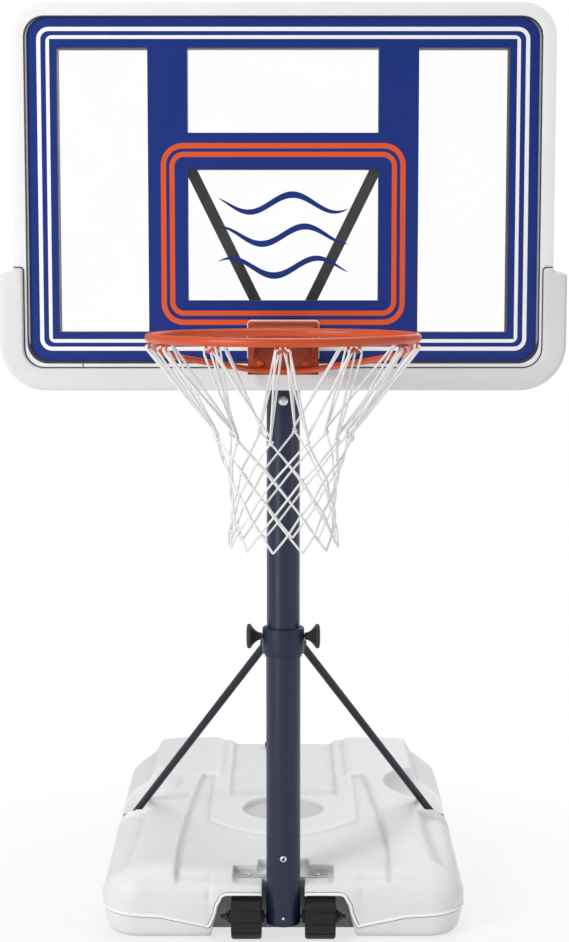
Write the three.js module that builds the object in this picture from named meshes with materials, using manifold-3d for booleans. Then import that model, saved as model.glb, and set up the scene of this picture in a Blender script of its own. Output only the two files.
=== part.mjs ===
// A portable poolside basketball hoop: a water-filled base on two wheels, a two-piece pole that
// slides in a collar, and a clear board with a frame, a bottom pad, a rim and a net.
// Millimetres, +Z up, the playing side towards -Y. Heights are measured from the floor, and
// depths from the pole's axis. The group is moved at the end so that the origin lies on the floor
// under the middle of the whole hoop.
import * as THREE from "three";
import { mergeVertices } from "three/addons/utils/BufferGeometryUtils.js";
import Module from "manifold-3d";

const wasm = await Module();
wasm.setup();

// Clearances shared by all pieces
const seatGap = 0.3;
const boltGap = 0.3;
const studGap = 0.6;
const overrun = 20;

// Numbers of facets
const poleSides = 32;
const roundSides = 20;
const smallSides = 8;
const nutSides = 6;
const keyDigits = 4;
const cornerSteps = 5;

// Base tank: plan, heights and wall
const tankFront = -20;
const tankBack = 1072;
const tankFrontHalfWidth = 388;
const tankFlare = 10;
const tankSeamHeight = 85;
const tankFrontHeight = 152;
const tankBackHeight = 176;
const tankWall = 4;
const tankFrontCorner = 80;
const tankBackCorner = 110;
const leastCorner = 12;
// Each ring of the lower half: how far in from the widest line, and at which height
const tankFootInset = 34;
const tankChineInset = 12;
const tankChineHeight = 14;
// Each ring of the upper half: how far in, and its share of the way from the seam to the deck
const tankWaistInset = 4;
const tankWaistShare = 0.4;
const tankShoulderInset = 20;
const tankShoulderShare = 0.8;
const tankDeckInset = 42;

// Openings and recesses of the tank
const notchRoofInset = 2;
const notchFlare = 25;
const notchBackRoom = 15;
const notchRoofGap = 3.5;
const slotGap = 9;
const shelfSideRoom = 12;
const shelfBackRoom = 9.7;
const shelfSkin = 21.5;
const footPocketRoom = 19;
const footPocketDepth = 39;
const channelHalfWidth = 132;
const channelFront = 330;
const channelDepth = 16;
const wellRadius = 95;
const wellCentre = 449;
const wellDepth = 24;
const pocketReach = 76;
const pocketAhead = 129;
const pocketBehind = 74;
const pocketRise = 1;

// Filler neck and cap in the rear channel
const fillerX = -28;
const fillerFromBack = 72;
const fillerBore = 15;
const capRadius = 21;
const capHeight = 11;
const capSkirt = 10;
const capRibCount = 16;
const capRibDepth = 1.2;

// Wheels and axle
const wheelRadius = 47;
const wheelPoleGap = 10;
const wheelWidth = 64.5;
const hubRadius = 15;
const hubLength = 6;
const treadDepth = 2.2;
const treadGrooves = 12;
const treadGrooveWidth = 3;
const axleRadius = 5;
const axleEnd = 9;
const pushNutRadius = 11;
const pushNutLength = 6;
const pushNutGap = 1.5;

// Pole
const upperPoleDiameter = 69;
const upperPoleWall = 1.8;
const lowerPoleWall = 1.2;
const slideGap = 0.3;
const poleFootDrop = 12;
const poleAboveRim = 38;
const upperPoleRise = 16;
const footCapThickness = 3;
const footCapPlug = 2.5;
const topCapThickness = 4;
const topCapPlug = 20;

// Collar and knobs
const collarTop = 672;
const collarHeight = 62;
const collarWall = 7.5;
const collarLip = 8;
const collarChamfer = 4;
const knobDrop = 20;
const knobLength = 33;
const knobRadius = 25.8;
const knobRimShare = 0.3;
const knobFlarePower = 2;
const knobNeckRadius = 6;
const knobDome = 2;
const studRadius = 4;
const studInKnob = 22;

// Braces
const braceRadius = 8.5;
const braceTopGap = 6.2;
const braceTopDrop = 32;
const braceFootInset = 14;
const braceFootY = 566;
const earThickness = 6;
const earLength = 32.2;
const earHeight = 40;
const braceBoltGap = 20.2;
const tabWidth = 32;
const tabAhead = 16;
const tabBehind = 50;
const tabThickness = 4;
const tabShift = 34;
const footBoltDepth = 18;

// Bolts, nuts and screws
const boltHeadRadius = 10;
const boltHeadHeight = 5;
const domeShare = 0.6;
const smallHeadShare = 0.75;
const boltRadius = 4;
const nutRadius = 8;
const nutThickness = 7;
const screwRadius = 2.5;
const screwHeadRadius = 5.5;
const screwHeadHeight = 2.5;
const screwLength = 14;

// Strap behind the pole foot
const strapReach = 59;
const strapDepth = 20;
const strapThickness = 3;
const tongueHalfWidth = 22;
const tongueAboveBolt = 20;
const poleBoltRise = 65;
const strapScrewInset = 21;

// Board: frame, panel, print, pad and rails
const boardStandoff = 114.5;
const frameHalfWidth = 531.5;
const frameHeight = 723;
const frameDrop = 89;
const frameLip = 26;
const frameCorner = 66;
const frameProud = 6;
const frameDepth = 30;
const panelThickness = 4;
const panelInFrame = 14;
const printThickness = 0.5;
const printInset = 0.5;
const columnWidth = 77.5;
const windowSideInset = 92.5;
const sideWindowBottomShare = 0.1162;
const sideWindowTopShare = 0.8741;
const middleWindowShare = 0.4271;
const topWindowBottomShare = 0.6542;
const targetBottomShare = 0.2019;
const targetTopShare = 0.556;
const padSide = 27;
const padDrop = 31;
const padRise = 210;
const padOverlap = 19.5;
const padLip = 13;
const padCorner = 92;
const padInnerCorner = 40;
const padEndCorner = 14;
const padProud = 9;
const padBehind = 6;
const railWidth = 50;
const railDepth = 24;
const railThickness = 2.5;

// Saddle between the pole and the board, and the struts
const saddlePlate = 5;
const saddleTopDrop = 10;
const saddleDrop = 61;
const saddleTailLength = 118;
const saddleTailHalfWidth = 26;
const crossSide = 4.5;
const crossRise = 16;
const crossDrop = 79;
const crossThickness = 4;
const topBoltRise = 29;
const sideBoltDrop = 22;
const strutWidth = 22;
const strutThickness = 12;
const strutLowDrop = 7;
const strutLowDepth = -22;
const strutHighShare = 0.6805;

// Rim, bracket and brace rod
const rimRadius = 236.5;
const rimRod = 8;
const rimHeight = 1297;
const rimStandoff = 163.5;
const rimSides = 40;
const rodSides = 8;
const hookCount = 12;
const hookWire = 2.5;
const hookHalfWidth = 11;
const hookDrop = 19;
const hookSides = 4;
const hookSteps = 6;
const hookSideShare = 0.75;
const hookFootShare = 0.7;
const bracketHalfWidth = 69.5;
const bracketRise = 12;
const bracketThickness = 5;
const bracketShelf = 4;
const bracketShelfInset = 9.5;
const gussetThickness = 4;
const gussetInset = 11.5;
const gussetDrop = 62;
const rimBoltX = 45;
const rimBoltLowDrop = 67;
const rimBoltHighDrop = 14;
const rimBoltHead = 8;
const rimBoltHeadHeight = 5;
const trimWidth = 3;
const trimSide = 2;
const trimRise = 7;
const trimCorner = 9;
const trimInnerShare = 0.6;
const rodRadius = 6;
const rodEndAngle = 78;
const rodBendAngle = 62;
const rodBulge = 16;
const rodBendDrop = 34;
const rodMiddleX = 115;
const rodMiddleReach = 113;
const rodMiddleDrop = 64;
const rodTurnX = 60;
const rodTurnReach = 29;
const rodTurnDrop = 78;
const rodBracketX = 24;
const rodBracketDrop = 82;
const rodDip = 4;
const rodSteps = 28;

// Net: one row of knots, then rows of crossings down to the pointed loops
const cordRadius = 2;
const cordSides = 4;
const netTwist = 5;
const netLength = 372.5;
const netHeightShares = [0.476, 0.5772, 0.6617, 0.7463, 0.8295, 0.9154, 1];
const netRadiusShares = [0.5201, 0.4524, 0.4123, 0.3911, 0.3869, 0.3975, 0.4186];
const knotRadius = 6;
const loopSpread = 5;
const legShift = 2.5;
const loopLift = 1.2;
const loopSteps = 3;

const full = Math.PI * 2;
const quarter = Math.PI / 2;
const degree = Math.PI / 180;

// Colours
const white = 0xe4e5e6;
const navy = 0x2c3244;
const black = 0x2b2b2b;
const orange = 0xc0532c;
const blue = 0x20367f;
const steel = 0xb8bbbe;
const cord = 0xf2f2f0;
const water = 0x9fc4d8;
const clear = 0xdfe8ee;

const hoop = new THREE.Group();

// A three.js geometry as a solid, its doubled vertices merged
function solid(geometry, matrix = new THREE.Matrix4()) {
  const plain = (geometry.index ? geometry.toNonIndexed() : geometry.clone()).applyMatrix4(matrix);
  plain.deleteAttribute("normal");
  plain.deleteAttribute("uv");
  const merged = mergeVertices(plain, 1e-4);
  const vertProperties = new Float32Array(merged.attributes.position.array);
  const triVerts = new Uint32Array(merged.index.array);
  return new wasm.Manifold(new wasm.Mesh({ numProp: 3, vertProperties, triVerts }));
}

function geometryOf(shape) {
  const { vertProperties, triVerts } = shape.getMesh();
  const geometry = new THREE.BufferGeometry();
  geometry.setAttribute("position", new THREE.BufferAttribute(new Float32Array(vertProperties), 3));
  geometry.setIndex(new THREE.BufferAttribute(new Uint32Array(triVerts), 1));
  return geometry;
}

const joined = (first, ...others) => others.reduce((sum, other) => sum.add(other), first);
const without = (first, ...others) => others.reduce((rest, other) => rest.subtract(other), first);

// A named piece with its finish; flat shading because every piece is faceted
function piece(name, shape, color, roughness = 0.6, metalness = 0) {
  const material = new THREE.MeshStandardMaterial({ color, roughness, metalness, flatShading: true });
  const mesh = new THREE.Mesh(geometryOf(shape), material);
  mesh.name = name;
  hoop.add(mesh);
}

// A box between two corners
function box(x0, x1, y0, y1, z0, z1) {
  const geometry = new THREE.BoxGeometry(x1 - x0, y1 - y0, z1 - z0);
  geometry.translate((x0 + x1) / 2, (y0 + y1) / 2, (z0 + z1) / 2);
  return solid(geometry);
}

const turnedTo = {
  x: new THREE.Matrix4().makeRotationZ(-quarter),
  y: new THREE.Matrix4(),
  z: new THREE.Matrix4().makeRotationX(quarter),
};

// A round solid from a profile of [radius, distance] pairs, turned to lie along an axis
function turned(profile, axis, place = [0, 0, 0], sides = roundSides) {
  const points = profile.map(([radius, distance]) => new THREE.Vector2(radius, distance));
  const matrix = new THREE.Matrix4().makeTranslation(...place).multiply(turnedTo[axis]);
  return solid(new THREE.LatheGeometry(points, sides), matrix);
}

// A plain round bar from one distance to another along an axis
function bar(radius, from, to, axis, place, sides) {
  return turned([[0, from], [radius, from], [radius, to], [0, to]], axis, place, sides);
}

// A tube standing on Z, its profile closed on itself
function tube(outer, inner, bottom, top, sides = poleSides) {
  return turned(
    [[inner, bottom], [outer, bottom], [outer, top], [inner, top], [inner, bottom]], "z", [0, 0, 0], sides,
  );
}

const mirrored = (shape) => shape.mirror([1, 0, 0]);

// The corner points of an outline, each corner rounded by its own radius
function rounded(corners, radii) {
  const points = [];
  corners.forEach((corner, i) => {
    const before = corners[(i + corners.length - 1) % corners.length];
    const after = corners[(i + 1) % corners.length];
    const into = new THREE.Vector2().subVectors(before, corner).normalize();
    const out = new THREE.Vector2().subVectors(after, corner).normalize();
    const half = Math.acos(into.dot(out)) / 2;
    const reach = radii[i] / Math.tan(half);
    const start = corner.clone().addScaledVector(into, reach);
    const end = corner.clone().addScaledVector(out, reach);
    for (let step = 0; step <= cornerSteps; step += 1) {
      const t = step / cornerSteps;
      const weight = Math.sin(half);
      const a = (1 - t) * (1 - t);
      const b = 2 * t * (1 - t) * weight;
      const c = t * t;
      const sum = a + b + c;
      points.push(new THREE.Vector2(
        (a * start.x + b * corner.x + c * end.x) / sum,
        (a * start.y + b * corner.y + c * end.y) / sum,
      ));
    }
  });
  return points;
}

// A rectangle outline in width and height, with bottom and top corner radii
function rectangle(x0, x1, z0, z1, low, high = low) {
  const corners = [[x0, z0], [x1, z0], [x1, z1], [x0, z1]].map(([x, z]) => new THREE.Vector2(x, z));
  return rounded(corners, [low, low, high, high]);
}

// An outline drawn in X and Z, made solid from one depth to another
function upright(outline, y0, y1) {
  const settings = { depth: y1 - y0, bevelEnabled: false };
  const geometry = new THREE.ExtrudeGeometry(new THREE.Shape(outline), settings);
  const matrix = new THREE.Matrix4().makeTranslation(0, y1, 0).multiply(turnedTo.z);
  return solid(geometry, matrix);
}

// An outline drawn in X and Y, made solid from one height to another
function standing(outline, z0, z1) {
  const settings = { depth: z1 - z0, bevelEnabled: false };
  const geometry = new THREE.ExtrudeGeometry(new THREE.Shape(outline), settings);
  return solid(geometry, new THREE.Matrix4().makeTranslation(0, 0, z0));
}

// A round rod along a curve
function rod(curve, radius, sides, steps) {
  const section = new THREE.Shape();
  for (let side = 0; side < sides; side += 1) {
    const angle = (full * side) / sides;
    section[side ? "lineTo" : "moveTo"](radius * Math.cos(angle), radius * Math.sin(angle));
  }
  return solid(new THREE.ExtrudeGeometry(section, { extrudePath: curve, steps, bevelEnabled: false }));
}

// A route that a rod follows exactly from point to point
class Route extends THREE.Curve {
  constructor(points) {
    super();
    this.points = points;
  }

  getPoint(share) {
    const place = THREE.MathUtils.clamp(share, 0, 1) * (this.points.length - 1);
    const start = Math.min(Math.floor(place), this.points.length - 2);
    return this.points[start].clone().lerp(this.points[start + 1], place - start);
  }

  getPointAt(share) {
    return this.getPoint(share);
  }

  getTangentAt(share) {
    return this.getTangent(share);
  }
}

const alongRoute = (points, radius, sides) => rod(new Route(points), radius, sides, points.length - 1);
const at = (x, y, z) => new THREE.Vector3(x, y, z);
const around = (angle, radius, z) => at(radius * Math.sin(angle), rimCentre - radius * Math.cos(angle), z);

// A closed skin over rings that have as many points each, capped below and above
function loft(rings) {
  const count = rings[0].length;
  const positions = rings.flat().flatMap((point) => [point.x, point.y, point.z]);
  const index = [];
  for (let ring = 0; ring + 1 < rings.length; ring += 1) {
    for (let i = 0; i < count; i += 1) {
      const a = ring * count + i;
      const b = ring * count + ((i + 1) % count);
      index.push(a, b, b + count, a, b + count, a + count);
    }
  }
  const flat = (ring) => ring.map((point) => new THREE.Vector2(point.x, point.y));
  const last = (rings.length - 1) * count;
  THREE.ShapeUtils.triangulateShape(flat(rings[0]), []).forEach(([a, b, c]) => index.push(a, c, b));
  THREE.ShapeUtils.triangulateShape(flat(rings.at(-1)), []).forEach(([a, b, c]) =>
    index.push(last + a, last + b, last + c));
  const geometry = new THREE.BufferGeometry();
  geometry.setAttribute("position", new THREE.Float32BufferAttribute(positions, 3));
  geometry.setIndex(index);
  return solid(geometry);
}

// Height of the tank's deck, which rises towards the back
function deckHeight(y) {
  const share = (y - tankFront) / (tankBack - tankFront);
  return tankFrontHeight + (tankBackHeight - tankFrontHeight) * share;
}

// The tank's outline in plan, drawn in by an inset
function tankOutline(inset) {
  const corners = [
    new THREE.Vector2(-(tankFrontHalfWidth - inset), tankFront + inset),
    new THREE.Vector2(tankFrontHalfWidth - inset, tankFront + inset),
    new THREE.Vector2(tankBackHalfWidth - inset, tankBack - inset),
    new THREE.Vector2(-(tankBackHalfWidth - inset), tankBack - inset),
  ];
  const front = Math.max(leastCorner, tankFrontCorner - inset);
  const back = Math.max(leastCorner, tankBackCorner - inset);
  return rounded(corners, [front, front, back, back]);
}

// The space that cuts into the tank from outside, grown by the wall where it bounds the inside
function tankCuts(grow) {
  const high = tankBackHeight + overrun;
  const ahead = tankFront - overrun;
  const channelFloor = (y) => deckHeight(y) - channelDepth;
  const channel = loft([0, 1].map((level) => [
    [-channelHalfWidth - grow, channelFront - grow],
    [channelHalfWidth + grow, channelFront - grow],
    [channelHalfWidth + grow, tankBack + overrun],
    [-channelHalfWidth - grow, tankBack + overrun],
  ].map(([x, y]) => at(x, y, level ? high : channelFloor(y) - grow))));
  const well = bar(
    wellRadius + grow, deckHeight(wellCentre) - wellDepth - grow, high, "z", [0, wellCentre, 0], poleSides,
  );
  const notchSlope = (notchFootHalfWidth - notchRoofHalfWidth) / notchRoof;
  const notchHalf = (height) => notchRoofHalfWidth + grow + (notchRoof + grow - height) * notchSlope;
  const notchOutline = [[-1, -overrun], [1, -overrun], [1, notchRoof + grow], [-1, notchRoof + grow]];
  const notch = upright(notchOutline.map(([side, height]) =>
    new THREE.Vector2(side * notchHalf(height), height)), ahead, notchBack + grow);
  const slot = box(-slotHalfWidth - grow, slotHalfWidth + grow, ahead, tongueFront + grow, 0, high);
  const shelfHalf = shelfHalfWidth + grow;
  const footHalf = footPocketHalfWidth + grow;
  const shelf = box(-shelfHalf, shelfHalf, ahead, shelfBack + grow, shelfHeight - grow, high);
  const footPocket = box(-footHalf, footHalf, ahead, footPocketBack + grow, shelfHeight - grow, high);
  const pocket = box(pocketInner - grow, tankBackHalfWidth + overrun,
    pocketFront - grow, pocketBack + grow, pocketFloor - grow, high);
  return [channel, well, notch, slot, shelf, footPocket, pocket, mirrored(pocket)];
}

// The tank's body with every face moved in by an inset
function tankBody(inset) {
  const level = (extra, height) => tankOutline(extra + inset).map(({ x, y }) => at(x, y, height));
  const rise = (extra, share) => tankOutline(extra + inset).map(({ x, y }) =>
    at(x, y, tankSeamHeight + (deckHeight(y) - inset - tankSeamHeight) * share));
  const rings = [
    level(tankFootInset, inset),
    level(tankChineInset, tankChineHeight + inset),
    level(0, tankSeamHeight),
    rise(tankWaistInset, tankWaistShare),
    rise(tankShoulderInset, tankShoulderShare),
    rise(tankDeckInset, 1),
  ];
  return without(loft(rings), ...tankCuts(inset));
}

// Sizes of the pole and the collar that follow from the named ones above
const upperPoleRadius = upperPoleDiameter / 2;
const upperPoleInner = upperPoleRadius - upperPoleWall;
const lowerPoleInner = upperPoleRadius + slideGap;
const lowerPoleRadius = lowerPoleInner + lowerPoleWall;
const collarInner = lowerPoleRadius + seatGap;
const collarRadius = collarInner + collarWall;
const lowerPoleTop = collarTop - collarLip - seatGap;
const poleFootHeight = wheelRadius - poleFootDrop;
const lowerPoleBottom = poleFootHeight + footCapThickness + seatGap;
const knobHeight = collarTop - knobDrop;
const braceTopHeight = collarTop - braceTopDrop;
const braceTopRadius = collarRadius + braceTopGap;
const earReach = collarRadius + earLength;
const braceBoltReach = collarRadius + braceBoltGap;

// Sizes of the wheels, the tank's openings and the strap that follow
const wheelInner = lowerPoleRadius + wheelPoleGap;
const wheelOuter = wheelInner + wheelWidth;
const wheelBore = axleRadius + studGap;
const axleHalfLength = wheelOuter + hubLength + pushNutGap + pushNutLength + axleEnd;
const tankBackHalfWidth = tankFrontHalfWidth + tankFlare;
const notchRoofHalfWidth = axleHalfLength - notchRoofInset;
const notchFootHalfWidth = notchRoofHalfWidth + notchFlare;
const notchBack = wheelRadius + notchBackRoom;
const notchRoof = wheelRadius * 2 + notchRoofGap;
const slotHalfWidth = lowerPoleRadius + slotGap;
const shelfHeight = notchRoof + shelfSkin;
const strapHalfLength = lowerPoleRadius + strapReach;
const strapScrewX = strapHalfLength - strapScrewInset;
const tongueFront = lowerPoleRadius + seatGap;
const tongueBack = tongueFront + strapThickness;
const shelfHalfWidth = strapHalfLength + shelfSideRoom;
const shelfBack = tongueFront + strapDepth + shelfBackRoom;
const footPocketHalfWidth = lowerPoleRadius + footPocketRoom;
const footPocketBack = shelfBack + footPocketDepth;
const poleBoltHeight = shelfHeight + poleBoltRise;
const tongueTop = poleBoltHeight + tongueAboveBolt;
const upperPoleBottom = poleBoltHeight + upperPoleRise;
const pocketFloor = tankSeamHeight + pocketRise;
const braceFootX = tankFrontHalfWidth - braceFootInset;
const braceFootHeight = pocketFloor;
const pocketInner = braceFootX - pocketReach;
const pocketFront = braceFootY - pocketAhead;
const pocketBack = braceFootY + pocketBehind;
const fillerY = tankBack - fillerFromBack;
const fillerDeck = deckHeight(fillerY) - channelDepth;
// How much the sloping channel floor rises under the cap, so that the cap stands clear of it
const channelTilt = deckHeight(fillerY + capRadius) - deckHeight(fillerY);

// Sizes of the board, the saddle, the rim and the net that follow
const boardFront = -(upperPoleRadius + boardStandoff);
const frameBottom = rimHeight - frameDrop;
const frameTop = frameBottom + frameHeight;
const padBottom = frameBottom - padDrop;
const padTop = frameBottom + padRise;
const padHalfWidth = frameHalfWidth + padSide;
const padInnerHalfWidth = frameHalfWidth - padOverlap;
const padInnerBottom = frameBottom + padLip;
const sideWindowBottom = frameBottom + frameHeight * sideWindowBottomShare;
const sideWindowTop = frameBottom + frameHeight * sideWindowTopShare;
const topWindowBottom = frameBottom + frameHeight * topWindowBottomShare;
const targetBottom = frameBottom + frameHeight * targetBottomShare;
const targetTop = frameBottom + frameHeight * targetTopShare;
const sideWindowOuter = frameHalfWidth - windowSideInset;
const middleWindowHalfWidth = sideWindowOuter * middleWindowShare;
const sideWindowInner = middleWindowHalfWidth + columnWidth;
const railX = middleWindowHalfWidth + columnWidth / 2;
const upperPoleTop = rimHeight + poleAboveRim;
const saddleTop = upperPoleTop - saddleTopDrop;
const saddleBottom = rimHeight - saddleDrop;
const saddleTail = saddleBottom - saddleTailLength;
const topBoltHeight = saddleTail + topBoltRise;
const sideBoltHeight = rimHeight - sideBoltDrop;
const crossTop = rimHeight + crossRise;
const crossBottom = rimHeight - crossDrop;
const crossHalfWidth = bracketHalfWidth + crossSide;
const strutLowHeight = saddleTop - strutLowDrop;
const strutHighHeight = frameBottom + frameHeight * strutHighShare;
const strutHighX = railX;
const rimCentre = boardFront - rimStandoff - rimRadius;
const bracketTop = rimHeight + bracketRise;
const bracketBottom = frameBottom;
const bracketShelfHalfWidth = bracketHalfWidth - bracketShelfInset;
const gussetX = bracketHalfWidth - gussetInset;
const rimBoltLow = rimHeight - rimBoltLowDrop;
const rimBoltHigh = rimHeight - rimBoltHighDrop;
const trimReach = bracketHalfWidth + trimSide;
const trimTop = bracketTop + trimRise;
const trimBottom = frameBottom + frameLip + printInset;
const rodMiddleDepth = boardFront - rodMiddleReach;
const rodTurnDepth = boardFront - rodTurnReach;
const rodTurnHeight = rimHeight - rodTurnDrop;
const rodBracketHeight = rimHeight - rodBracketDrop;
const netRowHeights = netHeightShares.map((share) => rimHeight - netLength * share);
const netRowRadii = netRadiusShares.map((share) => rimRadius * share);

function addTank() {
  const bore = bar(fillerBore, 0, tankBackHeight + overrun, "z", [fillerX, fillerY, tankSeamHeight]);
  const screwHoles = [-strapScrewX, strapScrewX].map((x) =>
    bar(screwRadius + boltGap, shelfHeight - screwLength, shelfHeight + overrun, "z",
      [x, tongueFront + strapDepth / 2, 0], smallSides));
  const footHoles = [-1, 1].map((side) =>
    bar(boltRadius + boltGap, pocketFloor - footBoltDepth, pocketFloor + overrun, "z",
      [side * braceFootX, braceFootY + tabShift, 0], smallSides));
  const shell = without(tankBody(0), tankBody(tankWall), bore, ...screwHoles, ...footHoles);
  piece("base_tank", shell, white, 0.5);
  const clearHoles = [-1, 1].map((side) =>
    bar(boltRadius + tankWall, 0, pocketFloor + overrun, "z",
      [side * braceFootX, braceFootY + tabShift, 0], smallSides));
  const screwRooms = [-strapScrewX, strapScrewX].map((x) =>
    bar(screwRadius + tankWall, 0, shelfHeight + overrun, "z",
      [x, tongueFront + strapDepth / 2, 0], smallSides));
  const capRoom = bar(fillerBore + seatGap, fillerDeck - tankWall - capSkirt, tankBackHeight, "z",
    [fillerX, fillerY, 0]);
  const fill = without(tankBody(tankWall + seatGap), ...clearHoles, ...screwRooms, capRoom);
  piece("water_ballast", fill, water, 0.2);
}

function addFillerCap() {
  const rim = [];
  for (let i = 0; i < capRibCount * 2; i += 1) {
    const angle = (full * i) / (capRibCount * 2);
    const radius = capRadius - (i % 2) * capRibDepth;
    rim.push(new THREE.Vector2(fillerX + radius * Math.cos(angle), fillerY + radius * Math.sin(angle)));
  }
  const seat = fillerDeck + channelTilt + seatGap;
  const head = standing(rim, seat, seat + capHeight);
  const plug = bar(fillerBore - seatGap * 2, seat - capSkirt, seat + capHeight / 2, "z",
    [fillerX, fillerY, 0]);
  piece("filler_cap", head.add(plug), black, 0.6);
}

function addWheels() {
  const body = [
    [wheelBore, wheelInner - hubLength],
    [hubRadius, wheelInner - hubLength],
    [hubRadius + hubLength, wheelInner],
    [wheelRadius - treadDepth, wheelInner],
    [wheelRadius, wheelInner + treadDepth],
    [wheelRadius, wheelOuter - treadDepth],
    [wheelRadius - treadDepth, wheelOuter],
    [hubRadius + hubLength, wheelOuter],
    [hubRadius, wheelOuter + hubLength],
    [wheelBore, wheelOuter + hubLength],
    [wheelBore, wheelInner - hubLength],
  ];
  let wheel = turned(body, "x", [0, 0, wheelRadius], roundSides);
  for (let i = 0; i < treadGrooves; i += 1) {
    const groove = new THREE.BoxGeometry(wheelOuter, treadGrooveWidth, treadDepth * 2);
    const spin = new THREE.Matrix4().makeRotationX((full * (i + 1 / 2)) / treadGrooves);
    const shift = new THREE.Matrix4().makeTranslation(wheelOuter / 2 + wheelInner, 0, wheelRadius);
    const raise = new THREE.Matrix4().makeTranslation(0, 0, wheelRadius);
    wheel = wheel.subtract(solid(groove, raise.multiply(spin).multiply(shift)));
  }
  piece("wheel_right", wheel, black, 0.8);
  piece("wheel_left", mirrored(wheel), black, 0.8);
  const axle = bar(axleRadius, -axleHalfLength, axleHalfLength, "x", [0, 0, wheelRadius], smallSides);
  piece("axle", axle, steel, 0.4, 0.9);
  const nutStart = wheelOuter + hubLength + pushNutGap;
  const nut = turned([
    [axleRadius + seatGap, nutStart],
    [pushNutRadius, nutStart],
    [axleRadius + treadDepth, nutStart + pushNutLength],
    [axleRadius + seatGap, nutStart + pushNutLength],
    [axleRadius + seatGap, nutStart],
  ], "x", [0, 0, wheelRadius], smallSides);
  piece("push_nut_right", nut, steel, 0.4, 0.9);
  piece("push_nut_left", mirrored(nut), steel, 0.4, 0.9);
}

function addLowerPole() {
  const reach = lowerPoleRadius + overrun;
  const axleHole = bar(axleRadius + boltGap, -reach, reach, "x", [0, 0, wheelRadius], smallSides);
  const boltHole = bar(boltRadius + boltGap, -reach, reach, "y", [0, 0, poleBoltHeight], smallSides);
  const studHole = bar(studRadius + studGap, -reach, reach, "x", [0, 0, knobHeight], smallSides);
  const pole = without(
    tube(lowerPoleRadius, lowerPoleInner, lowerPoleBottom, lowerPoleTop), axleHole, boltHole, studHole,
  );
  piece("lower_pole", pole, navy, 0.45, 0.3);
  const plugRadius = lowerPoleInner - seatGap;
  const cap = turned([
    [0, poleFootHeight],
    [lowerPoleRadius, poleFootHeight],
    [lowerPoleRadius, poleFootHeight + footCapThickness],
    [plugRadius, poleFootHeight + footCapThickness],
    [plugRadius, poleFootHeight + footCapThickness + footCapPlug],
    [0, poleFootHeight + footCapThickness + footCapPlug],
  ], "z", [0, 0, 0], poleSides);
  piece("pole_foot_cap", cap, black, 0.6);
}

// A profile is drawn upwards, so one drawn downwards is turned over
const ordered = (profile, towards) => (towards > 0 ? profile : [...profile].reverse());

// Washer-faced bolt whose shank runs from its head into the part; a hexagon nut goes with it
function bolt(head, height, shank, start, end, axis, place) {
  const towards = Math.sign(end - start);
  const top = start - towards * height;
  const dome = start - (towards * height) / 2;
  return turned(ordered([
    [0, top],
    [head * domeShare, top],
    [head, dome],
    [head, start],
    [shank, start],
    [shank, end],
    [0, end],
  ], towards), axis, place, smallSides);
}

function nut(start, axis, place, bore = boltRadius) {
  const blank = bar(nutRadius, start, start + nutThickness, axis, place, nutSides);
  const hole = bar(bore + seatGap, start - overrun, start + overrun, axis, place, smallSides);
  return blank.subtract(hole);
}

function addStrap() {
  const bottom = shelfHeight + seatGap;
  const plate = box(-strapHalfLength, strapHalfLength, tongueFront, tongueFront + strapDepth,
    bottom, bottom + strapThickness);
  const tongue = box(-tongueHalfWidth, tongueHalfWidth, tongueFront, tongueBack, bottom, tongueTop);
  const holes = [-strapScrewX, strapScrewX].map((x) =>
    bar(screwRadius + boltGap, 0, tongueTop, "z", [x, tongueFront + strapDepth / 2, 0], smallSides));
  const boltHole = bar(boltRadius + boltGap, 0, footPocketBack, "y", [0, 0, poleBoltHeight], smallSides);
  piece("foot_strap", without(plate.add(tongue), ...holes, boltHole), steel, 0.35, 0.9);
  const seat = bottom + strapThickness + seatGap;
  const screw = (x) => bolt(screwHeadRadius, screwHeadHeight, screwRadius, seat, seat - screwLength, "z",
    [x, tongueFront + strapDepth / 2, 0]);
  piece("strap_screw_left", screw(-strapScrewX), steel, 0.35, 0.9);
  piece("strap_screw_right", screw(strapScrewX), steel, 0.35, 0.9);
  const nutStart = tongueBack + seatGap;
  const shankEnd = nutStart + nutThickness + seatGap;
  const poleBolt = bolt(boltHeadRadius * smallHeadShare, boltHeadHeight, boltRadius,
    -lowerPoleRadius - seatGap, shankEnd, "y", [0, 0, poleBoltHeight]);
  piece("pole_bolt", poleBolt, steel, 0.3, 0.9);
  piece("pole_nut", nut(nutStart, "y", [0, 0, poleBoltHeight]), steel, 0.35, 0.9);
}

// The plan direction from the pole to a brace's foot
const braceReach = Math.hypot(braceFootX, braceFootY);
const braceTurn = Math.atan2(braceFootY, braceFootX);
const braceDirection = [braceFootX / braceReach, braceFootY / braceReach];

function addCollar() {
  const bottom = collarTop - collarHeight;
  const lipInner = upperPoleRadius + slideGap;
  const ring = turned([
    [collarInner, bottom],
    [collarRadius - collarChamfer, bottom],
    [collarRadius, bottom + collarChamfer],
    [collarRadius, collarTop - collarChamfer / 2],
    [collarRadius - collarChamfer / 2, collarTop],
    [lipInner, collarTop],
    [lipInner, collarTop - collarLip],
    [collarInner, collarTop - collarLip],
    [collarInner, bottom],
  ], "z", [0, 0, 0], poleSides);
  const half = earThickness / 2;
  const ear = box(collarInner + seatGap, earReach, -half, half, bottom, bottom + earHeight);
  const turn = ear.rotate([0, 0, braceTurn / degree]);
  const earHole = braceBolthole(boltRadius + boltGap);
  const oneEar = without(turn, earHole);
  const reach = collarRadius + overrun;
  const studHole = bar(studRadius + studGap, -reach, reach, "x", [0, 0, knobHeight], smallSides);
  piece("collar", without(joined(ring, oneEar, mirrored(oneEar)), studHole), navy, 0.5, 0.1);
}

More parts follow.
